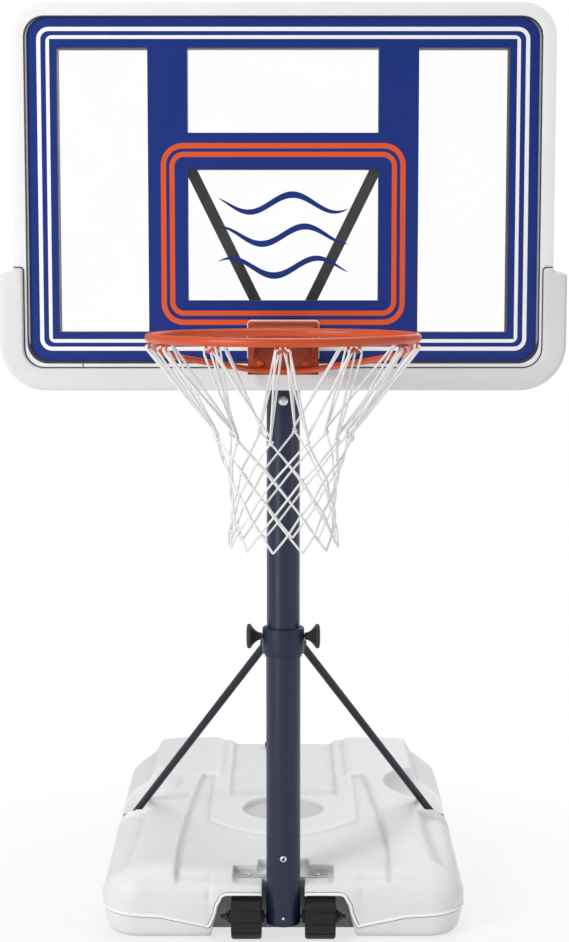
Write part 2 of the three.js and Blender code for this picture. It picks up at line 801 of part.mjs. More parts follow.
// The bolt line of a brace's upper end, square to the plane of the ear
function braceBolthole(radius) {
  const hole = bar(radius, -overrun, overrun, "y", [braceBoltReach, 0, braceBoltHeight], smallSides);
  return hole.rotate([0, 0, braceTurn / degree]);
}

// The bolt line meets the brace's own centre line
const braceSlope = (braceTopHeight - braceFootHeight) / (braceReach - braceTopRadius);
const braceBoltHeight = braceTopHeight - (braceBoltReach - braceTopRadius) * braceSlope;
const braceSide = earThickness / 2 + seatGap;

// A brace: a tube that is flattened and forked over the collar's ear, with a foot tab below
function addBraces() {
  const top = at(braceTopRadius, 0, braceTopHeight);
  const foot = at(braceReach, 0, braceFootHeight);
  const tubeBody = rod(new THREE.LineCurve3(top, foot), braceRadius, smallSides, 1);
  const earSlot = box(0, earReach + seatGap, -braceSide, braceSide, 0, collarTop + overrun);
  const round = bar(collarRadius + seatGap, 0, collarTop + overrun, "z", [0, 0, 0], poleSides);
  const turn = without(tubeBody, earSlot, round).rotate([0, 0, braceTurn / degree]);
  const tabBottom = pocketFloor + seatGap;
  const tab = box(braceFootX - tabWidth / 2, braceFootX + tabWidth / 2, braceFootY - tabAhead,
    braceFootY + tabBehind, tabBottom, tabBottom + tabThickness);
  const under = box(0, tankBackHalfWidth + overrun, 0, tankBack, -overrun, tabBottom);
  const boltY = braceFootY + tabShift;
  const tabHole = bar(boltRadius + boltGap, 0, collarTop, "z", [braceFootX, boltY, 0], smallSides);
  const brace = without(joined(turn, tab), under, braceBolthole(boltRadius + boltGap), tabHole);
  piece("brace_right", brace, navy, 0.5, 0.2);
  piece("brace_left", mirrored(brace), navy, 0.5, 0.2);
  const seat = tabBottom + tabThickness + seatGap;
  const footBolt = bolt(nutRadius, boltHeadHeight, boltRadius, seat, seat - footBoltDepth, "z",
    [braceFootX, boltY, 0]);
  piece("brace_foot_bolt_right", footBolt, steel, 0.35, 0.9);
  piece("brace_foot_bolt_left", mirrored(footBolt), steel, 0.35, 0.9);
  const reach = braceRadius + seatGap;
  const earBolt = bolt(nutRadius, boltHeadHeight, boltRadius, -reach, reach + nutThickness, "y",
    [braceBoltReach, 0, braceBoltHeight]).rotate([0, 0, braceTurn / degree]);
  piece("brace_bolt_right", earBolt, steel, 0.35, 0.9);
  piece("brace_bolt_left", mirrored(earBolt), steel, 0.35, 0.9);
}

// A clamp knob, trumpet-shaped, on a threaded stud that points at the pole
function addKnobs() {
  const start = collarRadius + seatGap * 2;
  const end = start + knobLength;
  const rim = end - knobLength * knobRimShare;
  const neck = knobNeckRadius;
  const flare = (share) => neck + (knobRadius - neck) * share ** knobFlarePower;
  const profile = [[studRadius + seatGap, start], [neck, start]];
  for (let step = 1; step <= cornerSteps; step += 1) {
    const share = step / cornerSteps;
    profile.push([flare(share), start + (rim - start) * share]);
  }
  profile.push(
    [knobRadius, end - knobDome],
    [knobRadius * domeShare, end],
    [0, end],
    [0, start + studInKnob + seatGap],
    [studRadius + seatGap, start + studInKnob + seatGap],
    [studRadius + seatGap, start],
  );
  const knob = turned(profile, "x", [0, 0, knobHeight], roundSides);
  const stud = bar(studRadius, upperPoleRadius + seatGap, start + studInKnob, "x",
    [0, 0, knobHeight], smallSides);
  piece("knob_right", knob, black, 0.6);
  piece("knob_left", mirrored(knob), black, 0.6);
  piece("knob_stud_right", stud, steel, 0.35, 0.9);
  piece("knob_stud_left", mirrored(stud), steel, 0.35, 0.9);
}

function addUpperPole() {
  const reach = upperPoleDiameter;
  const topBoltHole = bar(boltRadius + boltGap, -reach, reach, "y", [0, 0, topBoltHeight], smallSides);
  const sideBoltHole = bar(boltRadius + boltGap, -reach, reach, "x", [0, 0, sideBoltHeight], smallSides);
  const capSeat = upperPoleTop - topCapThickness - seatGap;
  const pole = without(
    tube(upperPoleRadius, upperPoleInner, upperPoleBottom, capSeat), topBoltHole, sideBoltHole,
  );
  piece("upper_pole", pole, navy, 0.45, 0.3);
  const plug = upperPoleInner - seatGap;
  const cap = turned([
    [0, capSeat - topCapPlug],
    [plug, capSeat - topCapPlug],
    [plug, capSeat + seatGap],
    [upperPoleRadius, capSeat + seatGap],
    [upperPoleRadius, upperPoleTop - topCapThickness / 2],
    [upperPoleRadius - topCapThickness, upperPoleTop],
    [0, upperPoleTop],
  ], "z", [0, 0, 0], poleSides);
  piece("pole_top_cap", cap, black, 0.6);
}

// Depths of the board's layers, from its front backwards
const printBack = boardFront + printThickness;
const panelFront = printBack + seatGap;
const panelBack = panelFront + panelThickness;
const behindPanel = panelBack + seatGap;
const frameFront = boardFront - frameProud;
const frameBack = frameFront + frameDepth;
const crossBack = behindPanel + crossThickness;
const bracketBack = boardFront - seatGap;
const bracketFront = bracketBack - bracketThickness;
const rimBoltSpots = [
  ["low_left", -rimBoltX, rimBoltLow],
  ["low_right", rimBoltX, rimBoltLow],
  ["high_left", -rimBoltX, rimBoltHigh],
  ["high_right", rimBoltX, rimBoltHigh],
];
const rimBoltHoles = () => rimBoltSpots.map(([, x, z]) =>
  bar(boltRadius + boltGap, bracketFront - overrun, crossBack + overrun, "y", [x, 0, z], smallSides));

function addBoard() {
  const outer = rectangle(-frameHalfWidth, frameHalfWidth, frameBottom, frameTop, frameCorner);
  const inside = (inset) => rectangle(-frameHalfWidth + inset, frameHalfWidth - inset, frameBottom + inset,
    frameTop - inset, Math.max(leastCorner, frameCorner - inset));
  const panelEdge = frameLip - panelInFrame;
  const frame = without(
    upright(outer, frameFront, frameBack),
    upright(inside(frameLip), frameFront - overrun, frameBack + overrun),
    upright(inside(panelEdge - seatGap), panelFront - seatGap, behindPanel),
    ...bracketRooms(),
  );
  piece("board_frame", frame, white, 0.4);
  const panel = without(upright(inside(panelEdge), panelFront, panelBack), ...rimBoltHoles());
  piece("board_panel", panel, clear, 0.05);
  const windows = [
    [-sideWindowOuter, -sideWindowInner, sideWindowBottom, sideWindowTop],
    [sideWindowInner, sideWindowOuter, sideWindowBottom, sideWindowTop],
    [-middleWindowHalfWidth, middleWindowHalfWidth, topWindowBottom, sideWindowTop],
    [-middleWindowHalfWidth, middleWindowHalfWidth, targetBottom, targetTop],
  ].map(([x0, x1, z0, z1]) => box(x0, x1, boardFront - overrun, behindPanel, z0, z1));
  const print = upright(inside(frameLip + printInset), boardFront, printBack);
  piece("board_print", without(print, ...windows, ...rimBoltHoles()), blue, 0.35);
}

// The room that the frame and the pad leave for the rim's bracket in front and its cross plate behind
function bracketRooms() {
  const side = bracketHalfWidth + seatGap;
  const behind = crossHalfWidth + seatGap;
  return [
    box(-side, side, frameFront - overrun, panelFront - seatGap, bracketBottom - rodDip, bracketTop),
    box(-behind, behind, panelFront, frameBack + overrun, crossBottom - seatGap, crossTop),
    ...rimBoltHoles(),
  ];
}

// The U-shaped pad that covers the board's lower edge and corners
function addPad() {
  const front = frameFront - padProud;
  const back = frameBack + padBehind;
  const whole = rectangle(-padHalfWidth, padHalfWidth, padBottom, padTop, padCorner, padEndCorner);
  const gap = rectangle(-padInnerHalfWidth, padInnerHalfWidth, padInnerBottom, padTop + overrun * 2,
    padInnerCorner, leastCorner);
  const seat = rectangle(-frameHalfWidth - seatGap, frameHalfWidth + seatGap, frameBottom - seatGap,
    frameTop, frameCorner + seatGap);
  const pad = without(
    upright(whole, front, back),
    upright(gap, front - overrun, back + overrun),
    upright(seat, frameFront - seatGap, frameBack + seatGap),
    ...bracketRooms(),
  );
  piece("bottom_pad", pad, white, 0.6);
}

// Two upright channels behind the blue columns, which stiffen the board and carry the struts
function addRails() {
  const back = behindPanel + railDepth;
  const inner = behindPanel - overrun;
  const low = frameBottom + frameLip + seatGap;
  const high = frameTop - frameLip - seatGap;
  const half = railWidth / 2;
  const whole = box(railX - half, railX + half, behindPanel, back, low, high);
  const hollow = box(railX - half + railThickness, railX + half - railThickness, inner, back - railThickness,
    low - overrun, high + overrun);
  const rail = whole.subtract(hollow);
  piece("board_rail_right", rail, black, 0.5, 0.4);
  piece("board_rail_left", mirrored(rail), black, 0.5, 0.4);
}

// The steel saddle that hugs the pole from behind and reaches forward to the board's cross plate
function addSaddle() {
  const inner = upperPoleRadius + seatGap;
  const outer = inner + saddlePlate;
  const front = crossBack + seatGap;
  const web = box(-outer, outer, inner, outer, saddleBottom, saddleTop);
  const tail = box(-saddleTailHalfWidth, saddleTailHalfWidth, inner, outer, saddleTail, saddleTop);
  const side = box(inner, outer, front, outer, saddleBottom, saddleTop);
  const reach = outer + overrun;
  const topHole = bar(boltRadius + boltGap, 0, reach, "y", [0, 0, topBoltHeight], smallSides);
  const sideHole = bar(boltRadius + boltGap, -reach, reach, "x", [0, 0, sideBoltHeight], smallSides);
  const saddle = without(joined(web, tail, side, mirrored(side)), topHole, sideHole);
  piece("board_saddle", saddle, black, 0.5, 0.5);
  const cross = box(-crossHalfWidth, crossHalfWidth, behindPanel, crossBack, crossBottom, crossTop);
  piece("cross_plate", without(cross, ...rimBoltHoles()), black, 0.5, 0.5);
  const nutStart = outer + seatGap;
  const topBolt = bolt(boltHeadRadius, boltHeadHeight, boltRadius, -upperPoleRadius - seatGap,
    nutStart + nutThickness + seatGap, "y", [0, 0, topBoltHeight]);
  piece("top_bolt", topBolt, steel, 0.25, 0.95);
  piece("top_nut", nut(nutStart, "y", [0, 0, topBoltHeight]), steel, 0.35, 0.9);
  const sideBolt = bolt(nutRadius, boltHeadHeight, boltRadius, -outer - seatGap,
    nutStart + nutThickness + seatGap, "x", [0, 0, sideBoltHeight]);
  piece("side_bolt", sideBolt, steel, 0.35, 0.9);
  piece("side_nut", nut(nutStart, "x", [0, 0, sideBoltHeight]), steel, 0.35, 0.9);
}

// Two struts in a V, from the saddle's sides to the rails
function addStruts() {
  const saddleSide = upperPoleRadius + seatGap + saddlePlate + seatGap;
  const railBack = behindPanel + railDepth + seatGap;
  const low = at(saddleSide, strutLowDepth, strutLowHeight);
  const high = at(strutHighX, railBack, strutHighHeight);
  const along = new THREE.Vector3().subVectors(high, low);
  const length = along.length() + strutWidth * 2;
  const middle = new THREE.Vector3().addVectors(low, high).multiplyScalar(1 / 2);
  const facing = new THREE.Matrix4().lookAt(high, low, at(0, -1, 0));
  const matrix = new THREE.Matrix4().makeTranslation(middle.x, middle.y, middle.z).multiply(facing);
  const beam = solid(new THREE.BoxGeometry(strutWidth, strutThickness, length), matrix);
  const keepOff = [
    box(-overrun, saddleSide, -tankBack, tankBack, 0, frameTop),
    box(-overrun, tankBack, -tankBack, railBack, 0, frameTop),
  ];
  const strut = without(beam, ...keepOff);
  piece("strut_right", strut, black, 0.5, 0.4);
  piece("strut_left", mirrored(strut), black, 0.5, 0.4);
}

const rimPlace = new THREE.Matrix4().makeTranslation(0, rimCentre, rimHeight);

function hookBar(index) {
  const angle = (full * index) / hookCount;
  const spin = new THREE.Matrix4().makeRotationZ(angle);
  const points = [
    at(-hookHalfWidth, -rimRadius, -rimRod / 2),
    at(-hookHalfWidth, -rimRadius, -hookDrop * hookSideShare),
    at(-hookHalfWidth * hookFootShare, -rimRadius, -hookDrop),
    at(hookHalfWidth * hookFootShare, -rimRadius, -hookDrop),
    at(hookHalfWidth, -rimRadius, -hookDrop * hookSideShare),
    at(hookHalfWidth, -rimRadius, -rimRod / 2),
  ].map((point) => point.applyMatrix4(spin).applyMatrix4(rimPlace));
  return rod(new THREE.CatmullRomCurve3(points), hookWire, hookSides, hookSteps);
}


// The rim: the round ring with a closed wire hook below it for each loop of the net
function addRim() {
  const ring = solid(new THREE.TorusGeometry(rimRadius, rimRod, rodSides, rimSides), rimPlace);
  let rim = ring;
  for (let i = 0; i < hookCount; i += 1) rim = rim.add(hookBar(i));
  piece("rim_ring", rim, orange, 0.45, 0.2);
}

// The bracket: a back plate on the board, a shelf out to the ring and two gussets below the shelf
function bracketBody(grow) {
  const ringBack = rimCentre + rimRadius;
  const shelfTop = rimHeight + rimRod;
  const plate = box(-bracketHalfWidth, bracketHalfWidth, bracketFront, bracketBack, bracketBottom, bracketTop);
  const shelf = box(-bracketShelfHalfWidth - grow, bracketShelfHalfWidth + grow, ringBack - grow,
    bracketFront + seatGap, shelfTop - bracketShelf - grow, shelfTop + grow);
  const gusset = (x) => {
    const outline = [
      new THREE.Vector2(ringBack + rimRod + seatGap - grow, shelfTop - bracketShelf / 2),
      new THREE.Vector2(ringBack + rimRod + seatGap - grow, shelfTop - bracketShelf - rimRod),
      new THREE.Vector2(bracketFront + seatGap, shelfTop - bracketShelf - gussetDrop),
      new THREE.Vector2(bracketFront + seatGap, shelfTop - bracketShelf / 2),
    ];
    const geometry = new THREE.ExtrudeGeometry(new THREE.Shape(outline),
      { depth: gussetThickness + grow * 2, bevelEnabled: false });
    const axes = new THREE.Matrix4().makeBasis(at(0, 1, 0), at(0, 0, 1), at(1, 0, 0));
    axes.setPosition(x - gussetThickness / 2 - grow, 0, 0);
    return solid(geometry, axes);
  };
  return joined(plate, shelf, gusset(gussetX), gusset(-gussetX));
}

// The bent rod below the ring, from one side of the ring past the bracket to the other side
function braceRod() {
  const across = bracketFront - rodRadius - seatGap;
  const half = [
    around(Math.PI - rodEndAngle * degree, rimRadius, rimHeight - rimRod),
    around(Math.PI - rodBendAngle * degree, rimRadius + rodBulge, rimHeight - rodBendDrop),
    at(rodMiddleX, rodMiddleDepth, rimHeight - rodMiddleDrop),
    at(rodTurnX, rodTurnDepth, rodTurnHeight),
    at(rodBracketX, across, rodBracketHeight),
  ];
  const otherHalf = half.map(({ x, y, z }) => at(-x, y, z)).reverse();
  return rod(new THREE.CatmullRomCurve3([...half, ...otherHalf]), rodRadius, rodSides, rodSteps);
}

function addBracket() {
  const ringRoom = solid(new THREE.TorusGeometry(rimRadius, rimRod + seatGap, rodSides, rimSides), rimPlace);
  const headRooms = rimBoltSpots.map(([, x, z]) =>
    bar(rimBoltHead + seatGap, bracketFront - overrun, bracketFront, "y", [x, 0, z], smallSides));
  const body = without(bracketBody(0), ringRoom, ...rimBoltHoles());
  piece("rim_bracket", body, orange, 0.45, 0.2);
  piece("rim_rod", without(braceRod(), bracketBody(seatGap), ringRoom, ...headRooms), orange, 0.45, 0.2);
  rimBoltSpots.forEach(([name, x, z]) => {
    const shape = bolt(rimBoltHead, rimBoltHeadHeight, boltRadius,
      bracketFront - seatGap, crossBack + seatGap, "y", [x, 0, z]);
    piece(`rim_bolt_${name}`, shape, orange, 0.4, 0.3);
  });
}

// The thin white trim that outlines the bracket on the board
function addTrim() {
  const outer = rectangle(-trimReach, trimReach, trimBottom, trimTop, trimCorner);
  const inner = rectangle(-trimReach + trimWidth * trimInnerShare, trimReach - trimWidth * trimInnerShare,
    trimBottom - overrun, trimTop - trimWidth, trimCorner * trimInnerShare);
  const front = boardFront - seatGap - printThickness;
  const bracketHalf = bracketHalfWidth + seatGap;
  const bracketEdge = rectangle(-bracketHalf, bracketHalf, bracketBottom, bracketTop + seatGap, trimWidth);
  const trim = without(
    upright(outer, front, boardFront - seatGap),
    upright(inner, front - overrun, boardFront),
    upright(bracketEdge, front - overrun, boardFront),
  );
  piece("bracket_trim", trim, white, 0.5);
}

const hookAngle = (index) => (full * index) / hookCount;
const hookBarHeight = rimHeight - hookDrop;
const knotAngle = (index) => hookAngle(index + 1 / 2) + netTwist * degree;

// A spot on the net, its rows numbered from the knots down and its columns in half meshes
const netSpot = (row, column) => ({
  angle: knotAngle(column / 2),
  radius: netRowRadii[row],
  height: netRowHeights[row],
});

// The spot at a share of the way between two others
const between = (a, b, share) => ({
  angle: a.angle + (b.angle - a.angle) * share,
  radius: a.radius + (b.radius - a.radius) * share,
  height: a.height + (b.height - a.height) * share,
});

// The mesh below the knots as one closed skin: a round sheet one cord thick with diamond gaps
class MeshSkin {
  positions = [];

  index = [];

  seen = new Map();

  vertex(spot, side) {
    const point = around(spot.angle, spot.radius + side * cordRadius, spot.height).toArray();
    const key = point.map((value) => value.toFixed(keyDigits)).join();
    if (!this.seen.has(key)) {
      this.seen.set(key, this.positions.length / 3);
      this.positions.push(...point);
    }
    return this.seen.get(key);
  }

  // A face on the outside and its twin on the inside
  face(...spots) {
    const outer = spots.map((spot) => this.vertex(spot, 1));
    const inner = spots.map((spot) => this.vertex(spot, -1));
    for (let i = 1; i + 1 < spots.length; i += 1) {
      this.index.push(outer[0], outer[i], outer[i + 1], inner[0], inner[i + 1], inner[i]);
    }
  }

  wall(a, b) {
    const [i, j, k, l] = [this.vertex(a, 1), this.vertex(b, 1), this.vertex(b, -1), this.vertex(a, -1)];
    this.index.push(i, j, k, i, k, l);
  }

  // A cell round a gap: its corners are below, right, above and left, and it may be open at an end
  cell(row, column) {
    const left = netSpot(row, column - 1);
    const right = netSpot(row, column + 1);
    const middle = between(left, right, 1 / 2);
    const last = netRowHeights.length - 1;
    const above = row > 0 ? netSpot(row - 1, column) : between(netSpot(row + 1, column), middle, 2);
    const below = row < last ? netSpot(row + 1, column) : between(netSpot(row - 1, column), middle, 2);
    const corners = [below, right, above, left];
    const wide = (middle.radius * (right.angle - left.angle)) / 2;
    const tall = (above.height - below.height) / 2;
    const share = 1 - (cordRadius * Math.hypot(wide, tall)) / (wide * tall);
    const gap = corners.map((corner) => between(middle, corner, share));
    const sides = [0, 1, 2, 3].filter((side) =>
      (row > 0 || side % 3 === 0) && (row < last || side % 3 > 0));
    sides.forEach((side) => {
      const next = (side + 1) % corners.length;
      this.face(corners[side], corners[next], gap[next], gap[side]);
      this.wall(gap[side], gap[next]);
    });
    return { left: gap[3], right: gap[1] };
  }

  // The small ends of the skin at a knot or at a pointed loop
  end(row, column, before, after) {
    const spots = [before.right, netSpot(row, column), after.left];
    if (row > 0) spots.reverse();
    this.face(...spots);
    this.wall(spots[0], spots[2]);
  }

  solid() {
    const geometry = new THREE.BufferGeometry();
    geometry.setAttribute("position", new THREE.Float32BufferAttribute(this.positions, 3));
    geometry.setIndex(this.index);
    return solid(geometry);
  }
}

function netMesh() {
  const skin = new MeshSkin();
  const last = netRowHeights.length - 1;
  for (let row = 0; row <= last; row += 1) {
    const cells = [];
    for (let i = 0; i < hookCount; i += 1) cells.push(skin.cell(row, 2 * i + ((row + 1) % 2)));
    if (row === 0 || row === last) {
      cells.forEach((after, i) =>
        skin.end(row, 2 * i + ((row + 1) % 2) - 1, cells[(i + hookCount - 1) % hookCount], after));
    }
  }
  return skin.solid();
}

// One hanging loop: two cords from a knot up to a hook, joined over the hook's bar
function hangingLoop(hook, knot, side) {
  const lean = Math.asin((side * loopSpread) / rimRadius);
  const reach = hookWire + cordRadius + loopLift;
  const top = (angle) => around(hookAngle(hook) + lean, rimRadius - reach * Math.cos(angle),
    hookBarHeight + reach * Math.sin(angle));
  const end = (shift) => around(knotAngle(knot), netRowRadii[0] + shift, netRowHeights[0]);
  const route = [end(-legShift)];
  for (let step = 0; step <= loopSteps; step += 1) route.push(top((Math.PI * step) / loopSteps));
  route.push(end(legShift));
  return alongRoute(route, cordRadius, cordSides);
}

function addNet() {
  const cords = [netMesh()];
  for (let i = 0; i < hookCount; i += 1) {
    const knot = around(knotAngle(i), netRowRadii[0], netRowHeights[0]);
    const place = new THREE.Matrix4().makeTranslation(...knot);
    cords.push(solid(new THREE.IcosahedronGeometry(knotRadius), place));
    cords.push(hangingLoop(i, i, 1), hangingLoop(i + 1, i, -1));
  }
  piece("net", wasm.Manifold.union(cords), cord, 0.9);
}

addTank();
addFillerCap();
addWheels();
addLowerPole();
addStrap();
addCollar();
addBraces();
addKnobs();
addUpperPole();
addBoard();
addPad();
addRails();
addSaddle();
addStruts();
addRim();
addBracket();
addTrim();
addNet();

// The origin goes under the middle of the whole hoop
const rimFront = rimCentre - rimRadius - rimRod;
hoop.position.y = -(rimFront + tankBack) / 2;

export default hoop;
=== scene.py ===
# %% [markdown]
# # A portable poolside basketball hoop
# The mechanical model of the hoop is finished and stays where it is. This lesson gives it its
# looks. Flat plates and sheet metal keep their own meshes and only get softer edges and a finish.
# Round, moulded and corded pieces are modelled again, finely, in the same places.

# %% Load the frame
import math

import bmesh
import bpy
import numpy as np
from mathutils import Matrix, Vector


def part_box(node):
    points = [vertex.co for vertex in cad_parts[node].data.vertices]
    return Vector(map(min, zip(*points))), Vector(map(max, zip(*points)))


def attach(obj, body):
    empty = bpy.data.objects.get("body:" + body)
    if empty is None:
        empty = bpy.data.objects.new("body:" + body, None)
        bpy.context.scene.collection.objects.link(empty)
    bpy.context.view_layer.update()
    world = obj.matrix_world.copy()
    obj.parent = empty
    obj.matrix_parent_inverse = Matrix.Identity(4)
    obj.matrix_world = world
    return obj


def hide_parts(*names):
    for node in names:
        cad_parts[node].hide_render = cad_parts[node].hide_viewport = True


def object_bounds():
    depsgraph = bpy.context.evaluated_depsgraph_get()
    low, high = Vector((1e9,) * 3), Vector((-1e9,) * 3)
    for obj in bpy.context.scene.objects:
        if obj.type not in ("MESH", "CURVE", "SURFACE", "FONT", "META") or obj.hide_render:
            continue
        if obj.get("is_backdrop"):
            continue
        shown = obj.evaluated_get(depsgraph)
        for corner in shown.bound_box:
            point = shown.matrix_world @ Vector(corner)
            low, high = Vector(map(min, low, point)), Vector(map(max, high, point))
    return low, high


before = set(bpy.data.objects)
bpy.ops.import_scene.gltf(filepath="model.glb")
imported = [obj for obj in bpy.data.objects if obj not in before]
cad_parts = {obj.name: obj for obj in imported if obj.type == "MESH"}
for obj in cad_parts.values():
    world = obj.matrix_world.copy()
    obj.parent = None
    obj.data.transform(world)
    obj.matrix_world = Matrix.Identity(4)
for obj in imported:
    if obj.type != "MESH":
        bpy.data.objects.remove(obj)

cad_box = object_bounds()
mm = 0.001
print("the whole hoop:", [tuple(round(value, 3) for value in corner) for corner in cad_box])

# %% [markdown]
# Sizes come from the frame where they can: the pole's axis, the floor and the places of the
# board's pieces are read from the boxes of the mechanical pieces. The others are written here.

# %% Places that the frame gives
def span(node, axis):
    """The lowest and highest place of a mechanical piece along one axis."""
    low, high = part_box(node)
    return low["xyz".index(axis)], high["xyz".index(axis)]


def middle(node, axis):
    return sum(span(node, axis)) / 2


def width(node, axis):
    low, high = span(node, axis)
    return high - low


sides = {"right": (1, "x"), "left": (-1, "-x")}
pole_y = middle("lower_pole", "y")
floor_z = span("base_tank", "z")[0]
print("pole axis at y", round(pole_y, 4), "and floor at z", round(floor_z, 4))

# %% [markdown]
# The photograph looks down on the hoop by about six degrees from a little above the rim, through
# a fairly long lens. A portrait picture measures its lens along its height.

# %% Camera
photo_height = 942
focal_pixels = 1900
camera_height = 1.4245
camera_distance = 3.914
camera_pitch = math.radians(6.2)
camera_right = 0.0025
sensor_height = 36

bpy.ops.object.camera_add(
    location=(camera_right, pole_y - camera_distance, camera_height),
    rotation=(math.pi / 2 - camera_pitch, 0, 0),
)
camera = bpy.context.object
camera.data.sensor_width = sensor_height
camera.data.lens = sensor_height * focal_pixels / photo_height
camera.data.clip_end = 200
bpy.context.scene.camera = camera
print("lens", round(camera.data.lens, 1), "mm")

# %% [markdown]
# ## Shader maths in plain Python
# A finish is a small network of nodes. Wrapping a socket in a class with arithmetic operators lets
# an expression such as `1 - mask * 0.3` build its own Math nodes, which reads better than wires.

# %% A value that adds Math nodes
class Value:
    """A number that varies over the surface: arithmetic on it adds Math nodes."""

    def __init__(self, finish, socket):
        self.finish = finish
        self.socket = socket

    def math(self, operation, *items):
        node = self.finish.add("Math", {"operation": operation}, dict(enumerate(items)))
        return Value(self.finish, node.outputs[0])

    def __add__(self, other):
        return self.math("ADD", self, other)

    def __radd__(self, other):
        return self.math("ADD", other, self)

    def __sub__(self, other):
        return self.math("SUBTRACT", self, other)

    def __rsub__(self, other):
        return self.math("SUBTRACT", other, self)

    def __mul__(self, other):
        return self.math("MULTIPLY", self, other)

    def larger(self, other):
        return self.math("MAXIMUM", self, other)

    def fraction(self):
        return self.math("FRACT", self)


class Finish:
    """A material and the one way in which nodes are added to it."""

    def __init__(self, name, **shader):
        self.material = bpy.data.materials.new(name)
        self.material.use_nodes = True
        self.tree = self.material.node_tree
        self.shader = self.tree.nodes["Principled BSDF"]
        for label, value in shader.items():
            self.shader.inputs[label.replace("_", " ")].default_value = value

    def add(self, kind, settings=None, inputs=None):
        node = self.tree.nodes.new("ShaderNode" + kind)
        for name, value in (settings or {}).items():
            setattr(node, name, value)
        for label, value in (inputs or {}).items():
            self.put(node.inputs[label], value)
        return node

    def put(self, socket, value):
        if isinstance(value, Value):
            value = value.socket
        if isinstance(value, bpy.types.NodeSocket):
            self.tree.links.new(value, socket)
        else:
            socket.default_value = value

    def place(self, scale=(1, 1, 1)):
        """Object coordinates, stretched by a scale."""
        where = self.add("TexCoord").outputs["Object"]
        return self.add("Mapping", None, {"Vector": where, "Scale": scale}).outputs["Vector"]

    def noise(self, scale, detail=3, stretch=(1, 1, 1)):
        """A cloud from 0 to 1 with so many blobs a metre."""
        node = self.add("TexNoise", None, {
            "Vector": self.place(stretch), "Scale": scale, "Detail": detail,
        })
        return Value(self, node.outputs["Fac"])

    def between(self, value, low, high):
        """A value moved so that low becomes 0 and high becomes 1, and kept there."""
        node = self.add("MapRange", None, {"Value": value, "From Min": low, "From Max": high})
        return Value(self, node.outputs["Result"])

    def mix(self, mask, first, second):
        """One colour where the mask is 0 and another where it is 1."""
        node = self.add("Mix", {"data_type": "RGBA"}, {0: mask, 6: first, 7: second})
        return node.outputs[2]

    def bump(self, height, depth, strength=1.0):
        node = self.add("Bump", None, {"Height": height, "Distance": depth, "Strength": strength})
        self.put(self.shader.inputs["Normal"], node.outputs["Normal"])

    def set(self, label, value):
        self.put(self.shader.inputs[label], value)


print("shader helpers are ready")

# %% [markdown]
# Colours are written as they look on a screen, from 0 to 255, and turned into the linear numbers
# that a shader works with.

# %% Screen colours as shader colours
def tone(red, green, blue):
    def linear(level):
        share = level / 255
        return share / 12.92 if share <= 0.04045 else ((share + 0.055) / 1.055) ** 2.4

    return (linear(red), linear(green), linear(blue), 1)


def shade(color, amount):
    return tuple(channel * amount for channel in color[:3]) + (1,)


print("white plastic is", [round(channel, 3) for channel in tone(228, 229, 230)[:3]])

# %% [markdown]
# ## Finishes
# ** Moulded plastic** has a fine eggshell grain from its mould, slow changes of gloss where it
# cooled unevenly and a little dust; on the tank, shade is also painted into its creases. One recipe
# serves the tank, the frame, the pad and the black pieces, with other colours and grains.

# %% Moulded plastic
def moulded(name, color, roughness, grain=900, relief=0.00012, dirt=0.06, gloss=0.4, crease_shade=0.0):
    finish = Finish(name, IOR=1.46, Specular_IOR_Level=gloss)
    cloud = finish.noise(5, 4)
    dust = finish.between(finish.noise(28, 6), 0.45, 0.8)
    dirt_and_shade = dust * dirt + cloud * dirt
    # Painted shade: points that lie deep in creases get darker, by the depth that mark_creases
    # stores.
    if crease_shade:
        node = finish.add("Attribute", {"attribute_name": "crease_shade"})
        dirt_and_shade = dirt_and_shade + Value(finish, node.outputs["Fac"]) * crease_shade
    finish.set("Base Color", finish.mix(dirt_and_shade, color, shade(color, 0.72)))
    speck = finish.noise(grain, 2)
    finish.set("Roughness", roughness + (cloud - 0.5) * 0.16 + (speck - 0.5) * 0.1)
    finish.bump(speck, relief)
    return finish.material


tank_white = moulded("tank_white", tone(233, 234, 235), 0.42, crease_shade=0.6)
# Painted highlight: a whiter, glossier copy of the tank's plastic for the seam bead, so that it
# reads as catching the light.
seam_highlight_white = moulded("seam_highlight_white", tone(254, 254, 254), 0.36, dirt=0.02)
well_shade_grey = moulded("well_shade_grey", tone(208, 208, 211), 0.5)
# Painted shadow: a near-black for thin strips where gaps between parts lie in shade, and a grey for
# painted shadow lines along the tank's seam and for the panel's edge line.
painted_shadow_black = moulded("painted_shadow_black", tone(58, 58, 60), 0.7)
edge_and_shade_grey = moulded("edge_and_shade_grey", tone(158, 160, 164), 0.6)
frame_white = moulded("frame_white", tone(243, 243, 243), 0.34, dirt=0.03)
pad_white = moulded("pad_white", tone(226, 226, 226), 0.55, grain=700)
trim_white = moulded("trim_white", tone(238, 236, 232), 0.4, dirt=0.02)
black_plastic = moulded("moulded_black", tone(46, 46, 47), 0.5, grain=1200, dirt=0.2)
wheel_black = moulded("wheel_black", tone(27, 27, 28), 0.62, grain=800, relief=0.0002, dirt=0.3)
collar_navy = moulded("collar_navy", tone(30, 39, 63), 0.42, grain=1100, dirt=0.1)

# %% [markdown]
# **Powder coat** flows together as it bakes and keeps a faint orange peel. The same recipe paints
# the navy poles, the dark braces, the black steel and the orange rim. Small chips and rubs make
# the gloss vary, more than the colour.

